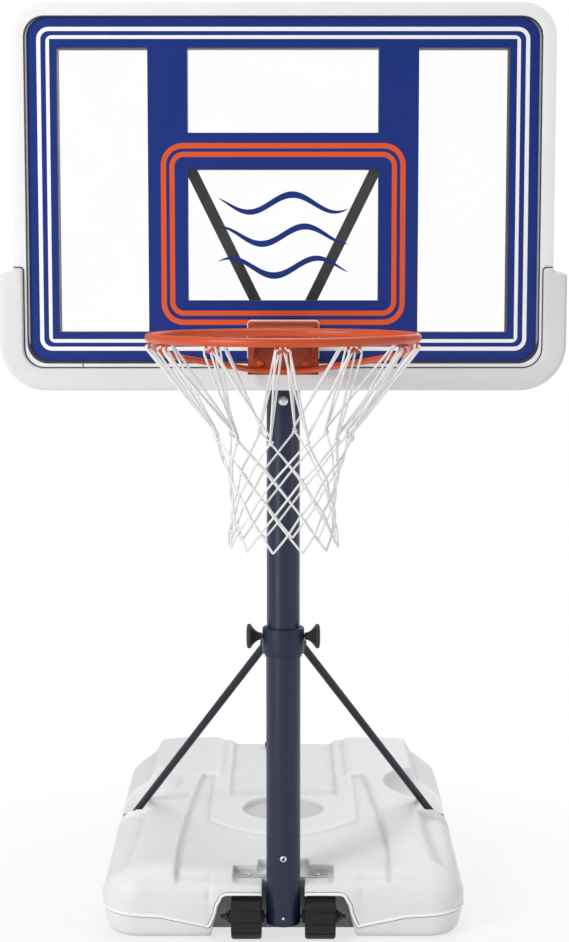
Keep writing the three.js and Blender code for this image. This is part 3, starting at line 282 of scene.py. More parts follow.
# %% Powder coat
def powder_coat(name, color, roughness, peel=420, wear=0.1, gloss=0.5):
    finish = Finish(name, IOR=1.5, Specular_IOR_Level=gloss)
    rubbed = finish.between(finish.noise(14, 6), 0.5, 0.75)
    finish.set("Base Color", finish.mix(rubbed * wear, color, shade(color, 1.35)))
    finish.set("Roughness", roughness + rubbed * 0.12 + (finish.noise(90, 2) - 0.5) * 0.1)
    finish.bump(finish.noise(peel, 2), 0.00018)
    return finish.material


pole_navy = powder_coat("pole_navy", tone(24, 34, 60), 0.32, peel=300, gloss=0.42)
brace_dark = powder_coat("brace_dark", tone(26, 28, 42), 0.45, gloss=0.3)
steel_black = powder_coat("steel_black", tone(34, 32, 31), 0.45)
rim_orange = powder_coat("rim_orange", tone(203, 76, 28), 0.36, wear=0.16)
# Painted shade: a darker copy of the rim's orange for the bracket, which sits in the shade under
# the board.
shaded_bracket_orange = powder_coat("shaded_bracket_orange", tone(166, 62, 26), 0.42, wear=0.16)

# %% [markdown]
# **Zinc-plated steel** is a metal with a fine drawn grain and cloudy patches, so its roughness
# changes from place to place.

# %% Zinc steel
def zinc(name, color, roughness):
    finish = Finish(name, Metallic=1.0)
    cloud = finish.noise(160, 4)
    finish.set("Base Color", finish.mix(cloud, shade(color, 0.82), color))
    finish.set("Roughness", roughness + (cloud - 0.5) * 0.25)
    finish.bump(finish.noise(1500, 2, (1, 1, 0.1)), 0.00006)
    return finish.material


zinc_steel = zinc("bright_zinc", tone(226, 227, 229), 0.34)

# %% [markdown]
# **The clear panel** is nearly invisible: a thin, slightly cool sheet whose gloss catches the
# lamps. Alpha keeps it light to render and to export. **Screen ink** lies on the panel as an even,
# glossy film with a hint of the mesh it was pressed through.

# %% Panel and inks
def clear_sheet(name, color, alpha):
    finish = Finish(name, IOR=1.49, Roughness=0.05)
    smear = finish.between(finish.noise(9, 5), 0.4, 0.75)
    finish.set("Base Color", finish.mix(smear, color, shade(color, 0.9)))
    finish.set("Roughness", 0.05 + smear * 0.08)
    finish.set("Alpha", alpha + smear * 0.01)
    return finish.material


def ink(name, color, roughness=0.3):
    finish = Finish(name, IOR=1.5, Specular_IOR_Level=0.35)
    film = finish.noise(240, 3)
    finish.set("Base Color", finish.mix(film * 0.12, color, shade(color, 0.7)))
    finish.set("Roughness", roughness + (finish.noise(7, 4) - 0.5) * 0.12)
    finish.bump(finish.noise(2600, 1), 0.00003)
    return finish.material


panel_clear = clear_sheet("panel_clear", tone(225, 232, 236), 0.014)
ink_blue = ink("ink_blue", tone(14, 44, 126))
ink_white = ink("ink_white", tone(250, 250, 250))
ink_orange = ink("ink_orange", tone(226, 88, 38))

# %% [markdown]
# ** Net cord** is braided: its strands wind round it, so the relief and a painted shade in the grooves
# between strands follow the cord's own UV map, once round and along. **Water** fills the tank out
# of sight.

# %% Cord and water
def braided(name, color):
    finish = Finish(name, Specular_IOR_Level=0.2, Roughness=0.8)
    where = finish.add("UVMap").outputs["UV"]
    parts = finish.add("SeparateXYZ", None, {0: where})
    along = Value(finish, parts.outputs["X"])
    around = Value(finish, parts.outputs["Y"])
    plait = (along + around * 2).fraction().larger((along - around * 2).fraction())
    # Painted shade: each strand darkens towards the groove beside it.
    finish.set("Base Color", finish.mix(plait * 0.14, color, shade(color, 0.6)))
    finish.bump(plait, 0.0001, 0.4)
    return finish.material


net_white = braided("net_white", tone(238, 238, 238))
water_blue = clear_sheet("water_blue", tone(170, 205, 222), 0.6)
print("finishes:", len(bpy.data.materials))

# %% [markdown]
# ## Modelling helpers
# An operator acts on everything that is selected, so each piece starts from a clean selection.
# Faces and edges are picked in code by their place, which is what the mouse would do by hand.

# %% Selection and modifiers
def start_fresh():
    if bpy.context.mode != "OBJECT":
        bpy.ops.object.mode_set(mode="OBJECT")
    bpy.ops.object.select_all(action="DESELECT")


def edit():
    bpy.ops.object.mode_set(mode="EDIT")
    bpy.ops.mesh.select_mode(type="VERT")
    bpy.ops.mesh.select_all(action="SELECT")


def leave():
    bpy.ops.object.mode_set(mode="OBJECT")


def pick(kind, test):
    """Selects the vertices, edges or faces that pass a test."""
    bpy.ops.mesh.select_all(action="DESELECT")
    bpy.ops.mesh.select_mode(type=kind)
    data = bpy.context.object.data
    mesh = bmesh.from_edit_mesh(data)
    for item in {"VERT": mesh.verts, "EDGE": mesh.edges, "FACE": mesh.faces}[kind]:
        item.select = test(item)
    mesh.select_flush_mode()
    bmesh.update_edit_mesh(data)


def centre(edge):
    return (edge.verts[0].co + edge.verts[1].co) / 2


def apply_place():
    bpy.ops.object.transform_apply(location=True, rotation=True, scale=True)


def modify(kind, **settings):
    modifier = bpy.context.object.modifiers.new(kind, kind)
    for name, value in settings.items():
        setattr(modifier, name, value)
    bpy.ops.object.modifier_apply(modifier=modifier.name)


def smooth(angle=35):
    bpy.ops.object.shade_smooth_by_angle(angle=math.radians(angle))


def soften(width, segments=3, angle=35):
    """Rounds every edge that is sharper than an angle."""
    modify("BEVEL", width=width, segments=segments, limit_method="ANGLE",
           angle_limit=math.radians(angle))
    smooth(angle)


def round_edges(test, radius, segments):
    """Rounds the edges that pass a test."""
    edit()
    pick("EDGE", test)
    bpy.ops.mesh.bevel(offset=radius, segments=segments, affect="EDGES")
    leave()


def tidy_shell():
    edit()
    bpy.ops.mesh.remove_doubles(threshold=0.002 * mm)
    bpy.ops.mesh.normals_make_consistent(inside=False)
    leave()


def done(name, material, body, slot, *nodes):
    """Names the piece that was just modelled, paints it and lets it ride on its body."""
    piece = bpy.context.object
    apply_place()
    piece.name = name
    piece.data.name = name
    piece.data.materials.clear()
    piece.data.materials.append(material)
    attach(piece, body)
    if nodes:
        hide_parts(*nodes)
    return piece


print("helpers are ready")

# %% [markdown]
# A **turned** piece is a profile spun round an axis, as on a lathe. The profile is drawn by
# extruding one vertex from point to point. Then the spin makes the skin, and merging its doubles
# closes the poles.

# %% Turned pieces
def drawn(points):
    """A chain of edges from point to point, left selected in edit mode."""
    start_fresh()
    bpy.ops.mesh.primitive_plane_add(size=mm)
    edit()
    bpy.ops.mesh.merge(type="CENTER")
    here = Vector((0, 0, 0))
    for count, point in enumerate(points):
        move = Vector(point) - here
        if count:
            bpy.ops.mesh.extrude_region_move(TRANSFORM_OT_translate={"value": move})
        else:
            bpy.ops.transform.translate(value=move)
        here = Vector(point)
    bpy.ops.mesh.select_all(action="SELECT")


faces_towards = {
    "x": (0, math.pi / 2, 0), "-x": (0, -math.pi / 2, 0),
    "y": (-math.pi / 2, 0, 0), "-y": (math.pi / 2, 0, 0),
    "z": (0, 0, 0), "-z": (math.pi, 0, 0),
}


def turned(profile, place=(0, 0, 0), towards="z", steps=64):
    """A profile of (radius, distance) pairs spun round an axis, with distance along the axis."""
    drawn([(radius, 0, distance) for radius, distance in profile])
    bpy.ops.mesh.spin(steps=steps, angle=math.tau, center=(0, 0, 0), axis=(0, 0, 1))
    leave()
    tidy_shell()
    bpy.context.object.rotation_euler = faces_towards[towards]
    bpy.context.object.location = place
    apply_place()
    smooth()
    return bpy.context.object


def block(low, high):
    """A box between two corners."""
    start_fresh()
    low, high = Vector(low), Vector(high)
    bpy.ops.mesh.primitive_cube_add(size=1, location=(low + high) / 2)
    bpy.context.object.scale = high - low
    apply_place()
    return bpy.context.object


def join(*pieces):
    """Several modelled objects as one."""
    start_fresh()
    for piece in pieces:
        piece.select_set(True)
    bpy.context.view_layer.objects.active = pieces[0]
    if len(pieces) > 1:
        bpy.ops.object.join()
    return bpy.context.object


print("turned pieces are ready")

# %% [markdown]
# A **plate** starts as an outline in X and Z. Its corners are given with their radii, the outline
# is filled with one face, and the face is extruded back. Insets and bevels come afterwards.

# %% Plates
def rounded(corners, steps=12):
    """The points of an outline whose corners, each (x, z, radius), are rounded by arcs."""
    points = []
    for count, (x, z, radius) in enumerate(corners):
        here = Vector((x, z))
        before = (Vector(corners[count - 1][:2]) - here).normalized()
        after = (Vector(corners[(count + 1) % len(corners)][:2]) - here).normalized()
        if not radius:
            points.append(here)
            continue
        half = before.angle(after) / 2
        hub = here + (before + after).normalized() * radius / math.sin(half)
        start = here + before * radius / math.tan(half) - hub
        end = here + after * radius / math.tan(half) - hub
        first = math.atan2(start.y, start.x)
        sweep = math.remainder(math.atan2(end.y, end.x) - first, math.tau)
        for step in range(steps + 1):
            angle = first + sweep * step / steps
            points.append(hub + Vector((math.cos(angle), math.sin(angle))) * radius)
    return points


def rectangle(x0, x1, z0, z1, low, high=None):
    """A rectangle outline with the radius of its low corners and of its high ones."""
    high = low if high is None else high
    return rounded([(x0, z0, low), (x1, z0, low), (x1, z1, high), (x0, z1, high)])


def prism(points, move):
    """A flat outline, filled with one face and drawn out along a move."""
    drawn(points)
    bpy.ops.mesh.edge_face_add()
    bpy.ops.mesh.extrude_region_move(TRANSFORM_OT_translate={"value": move})
    leave()
    tidy_shell()
    return bpy.context.object


def plate(points, front, back):
    """An outline in X and Z as a solid from one depth to another."""
    return prism([(point[0], front, point[1]) for point in points], (0, back - front, 0))


def cut(piece, *cutters, operation="DIFFERENCE"):
    """Cuts solids out of a piece, or joins them to it, and clears them away."""
    for cutter in cutters:
        start_fresh()
        bpy.context.view_layer.objects.active = piece
        modify("BOOLEAN", object=cutter, operation=operation, solver="EXACT")
        bpy.data.objects.remove(cutter)
    start_fresh()
    piece.select_set(True)
    bpy.context.view_layer.objects.active = piece
    return piece


def slide(points, steps):
    """Points on a smooth curve through the given ones."""
    ends = [2 * points[0] - points[1], *points, 2 * points[-1] - points[-2]]
    made = []
    for count in range(1, len(ends) - 2):
        a, b, c, d = ends[count - 1:count + 3]
        for step in range(steps):
            t = step / steps
            made.append(0.5 * (2 * b + (c - a) * t + (2 * a - 5 * b + 4 * c - d) * t ** 2
                               + (3 * b - a - 3 * c + d) * t ** 3))
    return made + [points[-1]]


def mirrored(points):
    """The same points on the other side of the hoop, in the other order."""
    return [Vector((-point.x, point.y, point.z)) for point in reversed(points)]


def rod(points, radius, steps=4, angle=50):
    """A round bar along points, its ends filled; the steps are counted for a quarter of it."""
    start_fresh()
    bpy.ops.curve.primitive_nurbs_path_add()
    line = bpy.context.object.data
    line.splines.clear()
    spline = line.splines.new("POLY")
    spline.points.add(len(points) - 1)
    for spot, point in zip(spline.points, points):
        spot.co = (*point, 1)
    line.bevel_depth = radius
    line.bevel_resolution = steps
    line.use_fill_caps = True
    bpy.ops.object.convert(target="MESH")
    smooth(angle)
    return bpy.context.object


def body_of(points, faces):
    """A closed body from points and the faces between them."""
    start_fresh()
    bpy.ops.mesh.primitive_plane_add()
    body = bpy.context.object
    body.data.clear_geometry()
    body.data.from_pydata(points, [], faces)
    body.data.update()
    tidy_shell()
    return body


print("plates and rods are ready")

# %% [markdown]
# ## Flat steel and sheet pieces
# The rails behind the print, the saddle, the cross plate, the struts, the strap and the nuts are
# plain folded or cut steel. Their mechanical meshes are right already, so they stay. Two live
# modifiers soften them: Weld joins the loose triangles and Bevel rounds the sharp edges, as a
# brake press and a coat of powder do.

# %% Finish the mechanical pieces that stay
def keep_node(node, material, edge):
    """Paints a mechanical piece, and rounds its edges with live modifiers."""
    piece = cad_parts[node]
    piece.data.materials.clear()
    piece.data.materials.append(material)
    if edge:
        weld = piece.modifiers.new("weld", "WELD")
        weld.merge_threshold = 0.01 * mm
        bevel = piece.modifiers.new("edge", "BEVEL")
        bevel.width = edge
        bevel.segments = 3
        bevel.limit_method = "ANGLE"
        bevel.angle_limit = math.radians(50)


kept_nodes = {
    "board_rail_right": (steel_black, 1.2 * mm), "board_rail_left": (steel_black, 1.2 * mm),
    "cross_plate": (steel_black, 1.2 * mm), "board_saddle": (steel_black, 1.2 * mm),
    "strut_right": (steel_black, 1.2 * mm), "strut_left": (steel_black, 1.2 * mm),
    "pole_nut": (zinc_steel, 0.5 * mm), "top_nut": (zinc_steel, 0.5 * mm),
    "side_nut": (zinc_steel, 0.5 * mm), "foot_strap": (zinc_steel, 0.8 * mm),
    "knob_stud_right": (steel_black, 0), "knob_stud_left": (steel_black, 0),
    "board_panel": (panel_clear, 0), "bracket_trim": (trim_white, 0),
    "rim_bracket": (shaded_bracket_orange, 0.9 * mm),
}
for node, (material, edge) in kept_nodes.items():
    keep_node(node, material, edge)
print("kept nodes:", len(kept_nodes))

# %% [markdown]
# ## The two poles
# The upper tube slides inside the lower one. Each is a turned wall with eased ends, so that the
# mouth of the lower tube and the top cap catch a thin line of light, as cut and deburred tube does.

# %% Poles and caps
def wall(outer, inner, bottom, top, ease):
    """The profile of a tube's wall with eased ends, closed on itself."""
    return [
        (inner, bottom), (outer - ease, bottom), (outer, bottom + ease),
        (outer, top - ease), (outer - ease, top), (inner, top), (inner, bottom),
    ]


pole_radius = span("lower_pole", "x")[1]
upper_radius = span("upper_pole", "x")[1]
lower_wall = 1.2 * mm
upper_wall = 1.8 * mm
pole_place = (0, pole_y, 0)

turned(wall(pole_radius, pole_radius - lower_wall, *span("lower_pole", "z"), 0.5 * mm),
       pole_place)
done("lower_tube", pole_navy, "root", "pole_paint", "lower_pole")
turned(wall(upper_radius, upper_radius - upper_wall, *span("upper_pole", "z"), 0.6 * mm),
       pole_place)
done("upper_tube", pole_navy, "upper", "pole_paint", "upper_pole")


def capped(radius, bottom, top, ease):
    """A closed cap's profile with a soft upper edge."""
    arc = [(radius - ease + ease * math.cos(angle), top - ease + ease * math.sin(angle))
           for angle in (0, math.pi / 8, math.pi / 4, 3 * math.pi / 8, math.pi / 2)]
    return [(0, bottom), (radius, bottom), *arc, (0, top)]


cap_bottom, cap_top = span("pole_top_cap", "z")
cap_lid = 4 * mm
plug_radius = upper_radius - upper_wall - 0.4 * mm
turned([(0, cap_bottom), (plug_radius, cap_bottom), (plug_radius, cap_top - cap_lid),
        *capped(upper_radius, cap_top - cap_lid, cap_top, 3 * mm)[1:]], pole_place)
done("top_cap", black_plastic, "upper", "black_plastic", "pole_top_cap")
foot_low, foot_high = span("pole_foot_cap", "z")
turned([(0, foot_low), (pole_radius - mm, foot_low), (pole_radius, foot_low + mm),
        (pole_radius, foot_low + 3 * mm), (pole_radius - 2 * mm, foot_low + 3 * mm),
        (pole_radius - 2 * mm, foot_high), (0, foot_high)], pole_place)
done("foot_cap", black_plastic, "root", "black_plastic", "pole_foot_cap")
print("poles:", round(pole_radius * 2, 4), "and", round(upper_radius * 2, 4), "m across")

# %% [markdown]
# ## Bolts
# All bolts are turned from one profile: a low dome, a flat seat and a shank with an eased end.
# A bolt with a socket has a well in its dome, and a dark plug in the well reads as its shadow.
# Their sizes come from the boxes of the mechanical bolts.

# %% Bolts from the boxes of the mechanical ones
def bolt_profile(head, height, shank, length, socket=0.0):
    if socket:
        middle_part = [(0, height * 0.3), (socket, height * 0.3), (socket, height * 0.93)]
    else:
        middle_part = [(0, height)]
    return [
        *middle_part, (head * 0.5, height * 0.95), (head * 0.78, height * 0.78),
        (head * 0.94, height * 0.48), (head, height * 0.15), (head, 0), (shank, 0),
        (shank, mm - length), (shank - mm, -length), (0, -length),
    ]


def bolt_from(node, towards, height, shank, name, material, body, slot, socket=0.0):
    """A fine bolt in a mechanical one's place, its head towards a direction such as -y."""
    low, high = (Vector(corner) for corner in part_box(node))
    axis = "xyz".index(towards[-1])
    sign = -1 if towards[0] == "-" else 1
    side = (axis + 1) % 3
    head = (high[side] - low[side]) / 2
    place = (low + high) / 2
    end = low[axis] if sign < 0 else high[axis]
    place[axis] = end - sign * height
    length = high[axis] - low[axis] - height
    turned(bolt_profile(head, height, shank, length, socket), place, towards, 32)
    return done(name, material, body, slot, node)


head_height = 5 * mm
screw_head_height = 2.5 * mm
shank_radius = 4 * mm
screw_radius = 2.5 * mm
socket_radius = 3.4 * mm
bolt_from("pole_bolt", "-y", head_height, shank_radius, "lower_bolt",
          zinc_steel, "root", "zinc_steel", socket_radius)
bolt_from("top_bolt", "-y", head_height, shank_radius, "upper_bolt",
          zinc_steel, "upper", "zinc_steel")
bolt_from("side_bolt", "-x", head_height, shank_radius, "saddle_bolt",
          zinc_steel, "upper", "zinc_steel")
for side in ("left", "right"):
    bolt_from(f"strap_screw_{side}", "z", screw_head_height, screw_radius, f"strap_{side}_screw",
              zinc_steel, "root", "zinc_steel")
    bolt_from(f"brace_foot_bolt_{side}", "z", head_height, shank_radius, f"brace_foot_{side}_bolt",
              zinc_steel, "root", "zinc_steel")
    for row in ("low", "high"):
        bolt_from(f"rim_bolt_{row}_{side}", "-y", head_height, shank_radius,
                  f"rim_{row}_{side}_bolt", rim_orange, "upper", "rim_paint")

bolt_front = span("pole_bolt", "y")[0]
bolt_z = middle("pole_bolt", "z")
plug = socket_radius - 0.3 * mm
turned([(0, 0), (plug, 0), (plug, 0.4 * mm), (0, 0.5 * mm)],
       (0, bolt_front + head_height * 0.7, bolt_z), "-y", 24)
done("lower_bolt_socket", black_plastic, "root", "black_plastic")

rivet_z = 0.054
rivet_radius = 2.6 * mm
turned([(0, 0.7 * mm), (rivet_radius * 0.6, 0.6 * mm), (rivet_radius, 0.15 * mm),
        (rivet_radius, -0.8 * mm), (0, -0.8 * mm)], (0, pole_y - pole_radius, rivet_z), "-y", 24)
done("foot_rivet", trim_white, "root", "zinc_steel")
print("bolts and screws are in place")

# %% [markdown]
# ## The collar
# A moulded sleeve grips the top of the lower tube. It has a rounded step at its foot, a rolled
# lip at its mouth and two ears behind, which the braces straddle. The sleeve is turned, and each
# ear is a bevelled plate joined to it.

# %% Collar
collar_low, collar_high = span("collar", "z")
collar_radius = 43.8 * mm
collar_lip = 8 * mm
brace_foot = Vector((374, 566)) * mm
brace_turn = math.atan2(brace_foot.y, brace_foot.x)
collar_bore = pole_radius + 0.3 * mm
mouth_bore = upper_radius + 0.4 * mm
neck_ring = collar_bore + 2.2 * mm
sleeve = turned([
    (collar_bore, collar_low), (neck_ring - 0.6 * mm, collar_low),
    (neck_ring, collar_low + 0.6 * mm), (neck_ring, collar_low + 5 * mm),
    (collar_radius - 3.4 * mm, collar_low + 5.6 * mm),
    (collar_radius - 1.4 * mm, collar_low + 6.8 * mm),
    (collar_radius - 0.3 * mm, collar_low + 8.8 * mm),
    (collar_radius, collar_low + 11 * mm), (collar_radius, collar_high - 4 * mm),
    (collar_radius - 0.4 * mm, collar_high - 2.2 * mm),
    (collar_radius - 1.6 * mm, collar_high - 0.8 * mm),
    (collar_radius - 3.4 * mm, collar_high - 0.2 * mm), (collar_radius - 5 * mm, collar_high),
    (mouth_bore + mm, collar_high), (mouth_bore, collar_high - mm),
    (mouth_bore, collar_high - collar_lip), (collar_bore, collar_high - collar_lip),
    (collar_bore, collar_low),
], steps=96)

ear_reach, ear_height, ear_thickness = 76 * mm, 40 * mm, 6 * mm
ears = []
for side in (1, -1):
    ear = block((collar_bore + mm, -ear_thickness / 2, collar_low),
                (ear_reach, ear_thickness / 2, collar_low + ear_height))
    round_edges(lambda edge: centre(edge).x > ear_reach - mm and abs(centre(edge).y) < mm,
                11 * mm, 8)
    soften(1.2 * mm)
    ear.rotation_euler.z = brace_turn if side > 0 else math.pi - brace_turn
    apply_place()
    ears.append(ear)
cut(sleeve, *ears, operation="UNION")
sleeve.location = pole_place
smooth(30)
done("collar_sleeve", collar_navy, "root", "collar_plastic", "collar")
print("collar from", round(collar_low, 3), "to", round(collar_high, 3))

# %% [markdown]
# ## The clamp knobs
# A knob is a trumpet: a slim neck that flares out to a thick disc with a gently bulging face.

# %% Knobs
def knob_profile():
    length, radius = width("knob_right", "x"), width("knob_right", "z") / 2
    neck, bore, bore_depth, disc = 7.4 * mm, 4.4 * mm, 22.5 * mm, 9.5 * mm
    flare = [(neck + (radius - mm - neck) * share ** 2.2, (length - disc) * share)
             for share in (step / 14 for step in range(15))]
    return [
        (bore, 0), *flare, (radius - 0.2 * mm, length - disc + 0.6 * mm),
        (radius, length - disc + 2 * mm), (radius - 0.3 * mm, length - 4 * mm),
        (radius - mm, length - 2.6 * mm), (radius - 2.6 * mm, length - 1.8 * mm),
        (radius * 0.75, length - 0.9 * mm), (radius * 0.45, length - 0.2 * mm), (0, length),
        (0, bore_depth), (bore, bore_depth), (bore, 0),
    ]


knob_inner = span("knob_right", "x")[0]
knob_z = middle("knob_right", "z")
for side, (sign, outwards) in sides.items():
    turned(knob_profile(), (sign * knob_inner, pole_y, knob_z), outwards, 96)
    smooth(40)
    done(f"clamp_{side}", black_plastic, f"knob_{side}", "black_plastic", f"knob_{side}")
print("knobs at height", round(knob_z, 3))

# %% [markdown]
# ## The braces
# Each brace is a round tube that straddles its ear with two cheeks, and its foot is welded to a
# flat tab that is bolted down in the tank's pocket. The cheeks come from a slot cut through the
# tube. The tab is a bevelled plate.

# %% Braces
brace_radius = 8.5 * mm
brace_top_reach, brace_top = 50 * mm, 640 * mm
brace_bottom = span("brace_right", "z")[0]


def brace(side, sign):
    direction = Vector((sign * brace_foot.x, brace_foot.y, 0)).normalized()
    top = direction * brace_top_reach + Vector((0, pole_y, brace_top))
    foot = Vector((sign * brace_foot.x, pole_y + brace_foot.y, brace_bottom))
    run = (top - foot).normalized()
    tube = rod([foot - run * 20 * mm, foot + run * 8 * mm, top - run * 60 * mm, top + run * 2 * mm],
               brace_radius, 8)
    tidy_shell()
    turn = math.atan2(direction.y, direction.x)
    gap_half = ear_thickness / 2 + 0.3 * mm
    gap = block((0, -gap_half, 0), (ear_reach + 0.5 * mm, gap_half, collar_high))
    gap.rotation_euler.z = turn
    gap.location = pole_place
    apply_place()
    clear = collar_radius + 0.4 * mm
    bore = turned([(0, 0), (clear, 0), (clear, 1), (0, 1)], pole_place)
    under = block((-1, pole_y, brace_bottom - 1), (1, 1, brace_bottom))
    cut(tube, gap, bore, under)
    tab_width, tab_ahead, tab_behind, tab_thickness = 32 * mm, 16 * mm, 50 * mm, 4 * mm
    tab = block((foot.x - tab_width / 2, foot.y - tab_ahead, brace_bottom),
                (foot.x + tab_width / 2, foot.y + tab_behind, brace_bottom + tab_thickness))
    round_edges(lambda edge: abs(edge.verts[0].co.z - edge.verts[1].co.z) > mm, 7 * mm, 6)
    soften(0.8 * mm)
    cut(tube, tab, operation="UNION")
    smooth(35)
    done(f"brace_{side}_tube", brace_dark, "root", "brace_paint", f"brace_{side}")
    reach = 64 * mm
    slope = (brace_top - brace_bottom) / (brace_foot.length - brace_top_reach)
    spot = direction * reach + Vector((0, pole_y, brace_top - (reach - brace_top_reach) * slope))
    across = Vector((direction.y, -direction.x, 0)) * sign
    seat = brace_radius + 0.3 * mm
    pin = turned(bolt_profile(8 * mm, head_height, shank_radius, seat * 2 + 7 * mm), steps=32)
    pin.rotation_euler = across.to_track_quat("Z", "Y").to_euler()
    pin.location = spot + across * seat
    apply_place()
    done(f"brace_{side}_bolt", steel_black, "root", "zinc_steel", f"brace_bolt_{side}")


for side, (sign, _) in sides.items():
    brace(side, sign)
print("braces reach the tank at y", round(pole_y + brace_foot.y, 3))

# %% [markdown]
# ## The frame of the board
# The frame is one moulded ring: a plate with round corners, inset once, its inner face deleted, and
# the two open edges drawn back and bridged.

# %% Frame
frame_left, frame_right = span("board_frame", "x")
frame_front, frame_back = span("board_frame", "y")
frame_bottom, frame_top = span("board_frame", "z")
frame_corner = 66 * mm
face_width = 26 * mm


def frame_ring():
    outline = rectangle(frame_left, frame_right, frame_bottom, frame_top, frame_corner)
    drawn([(point[0], frame_front, point[1]) for point in outline])
    bpy.ops.mesh.edge_face_add()
    bpy.ops.mesh.inset(thickness=face_width, use_even_offset=True)
    bpy.ops.mesh.delete(type="FACE")
    pick("EDGE", lambda edge: edge.is_boundary)
    depth = frame_back - frame_front
    bpy.ops.mesh.extrude_region_move(TRANSFORM_OT_translate={"value": (0, depth, 0)})
    bpy.ops.mesh.bridge_edge_loops()
    leave()
    tidy_shell()
    return bpy.context.object


ring = frame_ring()
room = Vector(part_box("rim_bracket")[1]).x + 0.3 * mm
room_top = span("rim_bracket", "z")[1]
panel_front, panel_back = span("board_panel", "y")
behind_room = span("cross_plate", "x")[1] + 0.3 * mm
cut(ring,
    block((-room, frame_front - 0.1, frame_bottom - 0.1),
          (room, panel_front - 0.3 * mm, room_top)),
    block((-behind_room, panel_front, frame_bottom - 0.1),
          (behind_room, frame_back + 0.1, room_top + 0.004)))
rim_width = 11.7 * mm
seat = plate(rectangle(frame_left + rim_width, frame_right - rim_width, frame_bottom + rim_width,
                       frame_top - rim_width, frame_corner - rim_width),
             panel_front - 0.3 * mm, panel_back + 0.3 * mm)
# Room cut in the frame's face for the painted shadow ring round the print.
shade_ring_front = frame_front + 1.2 * mm
shade_ring_edge, shade_ring_foot, shade_ring_corner = 505.2 * mm, 1229.8 * mm, 41 * mm
shade_ring_room = plate(rectangle(-shade_ring_edge, shade_ring_edge, shade_ring_foot, frame_top - face_width, shade_ring_corner),
                  frame_front - mm, panel_front)
cut(ring, seat, shade_ring_room)
soften(1.1 * mm, 3, 40)
done("frame_ring", frame_white, "upper", "frame_plastic", "board_frame")
print("frame", round(frame_right - frame_left, 3), "by", round(frame_top - frame_bottom, 3), "m")

# %% [markdown]
# ## The print
# The blue film covers the panel but for four windows. Behind each window a short dark wall stands
# back from the panel, so a window seen at a slant shows a dark band along its far edges.

# %% Print and its windows
print_front, print_back = span("board_print", "y")
print_left, print_right = span("board_print", "x")
print_bottom, print_top = span("board_print", "z")
side_inner, side_outer = 265 * mm, 442.5 * mm
middle_half = 187.5 * mm
window_top, window_bottom = 1844.5 * mm, 1291.5 * mm
upper_bottom = 1681 * mm
target_bottom, target_top = 1354 * mm, 1610 * mm
windows = {
    "left": (-side_outer, -side_inner, window_bottom, window_top),
    "right": (side_inner, side_outer, window_bottom, window_top),
    "upper": (-middle_half, middle_half, upper_bottom, window_top),
    "target": (-middle_half, middle_half, target_bottom, target_top),
}
print_corner = 40 * mm
film = plate(rectangle(print_left, print_right, print_bottom, print_top, print_corner),
             print_front, print_back)
cut(film, *[block((x0, print_front - 0.01, z0), (x1, print_back + 0.01, z1))
            for x0, x1, z0, z1 in windows.values()])
done("print_film", ink_blue, "upper", "board_ink", "board_print")
print("windows:", ", ".join(windows))

# %% Painted shadow ring between the frame and the panel
shade_ring_back = print_front - 0.1 * mm


def shade_ring(name, material, outer_half, inner_half, low, front, above=None):
    """A ring just inside the frame that paints the gap round the print, dark as its shade or grey
    as the panel's edge; `above` drops the part below that height.
    """
    top = frame_top - face_width
    outer_top = top - (shade_ring_edge - outer_half)
    inner_top = top - (shade_ring_edge - inner_half) * 0.45
    inner_low = low - 5 * mm if above else print_bottom
    inner_corner = shade_ring_corner - 3 * mm
    ring = plate(rectangle(-outer_half, outer_half, low, outer_top, shade_ring_corner), front, shade_ring_back)
    cutters = [plate(rectangle(-inner_half, inner_half, inner_low, inner_top, inner_corner),
                     front - mm, shade_ring_back + mm)]
    if above:
        cutters.append(block((-1, front - mm, 0), (1, shade_ring_back + mm, above)))
    cut(ring, *cutters)
    return done(name, material, "upper", "black_plastic")


# Painted shadow: a near-black ring where the frame's lip shades the print, and a thin grey line
# inside it for the panel's edge, along the sides and top.
shade_ring("panel_shadow_ring", painted_shadow_black, shade_ring_edge - 0.2 * mm, 499.8 * mm, shade_ring_foot + 0.2 * mm, shade_ring_front)
shade_ring("panel_edge_line", edge_and_shade_grey, 502.4 * mm, 499.6 * mm, 1240 * mm, shade_ring_front - 0.3 * mm,
     above=1268 * mm)
# Painted shadow: a thin near-black strip down the frame's face, where a small gap lies in shade.
gap_shadow_left, gap_shadow_right = -396.8 * mm, -394.9 * mm
block((gap_shadow_left, frame_front - 0.3 * mm, frame_bottom + 13 * mm),
      (gap_shadow_right, frame_front + 0.6 * mm, shade_ring_foot + 0.2 * mm))
done("frame_gap_shadow", painted_shadow_black, "upper", "black_plastic")
print("seal round the panel,", round(shade_ring_edge * 2, 3), "m wide")


# %% [markdown]
# A **stripe** is a rounded rectangle ring, printed over the blue: a thin plate with a smaller one
# cut out of it. White stripes follow the border in a pair, and orange ones frame the target.

# %% Stripes
film_gap = 0.05 * mm
film_thickness = 0.12 * mm


def stripe(name, material, x1, z0, z1, width, corner, inner_corner=None):
    """A ring round the board's centre line, its outer edges given."""
    outer = rectangle(-x1, x1, z0, z1, corner)
    inner = rectangle(-x1 + width, x1 - width, z0 + width, z1 - width,
                      max(corner - width, 0) if inner_corner is None else inner_corner)
    front, back = print_front - film_gap - film_thickness, print_front - film_gap
    ring = plate(outer, front, back)
    cut(ring, plate(inner, front - mm, back + mm))
    return done(name, material, "upper", "board_ink")


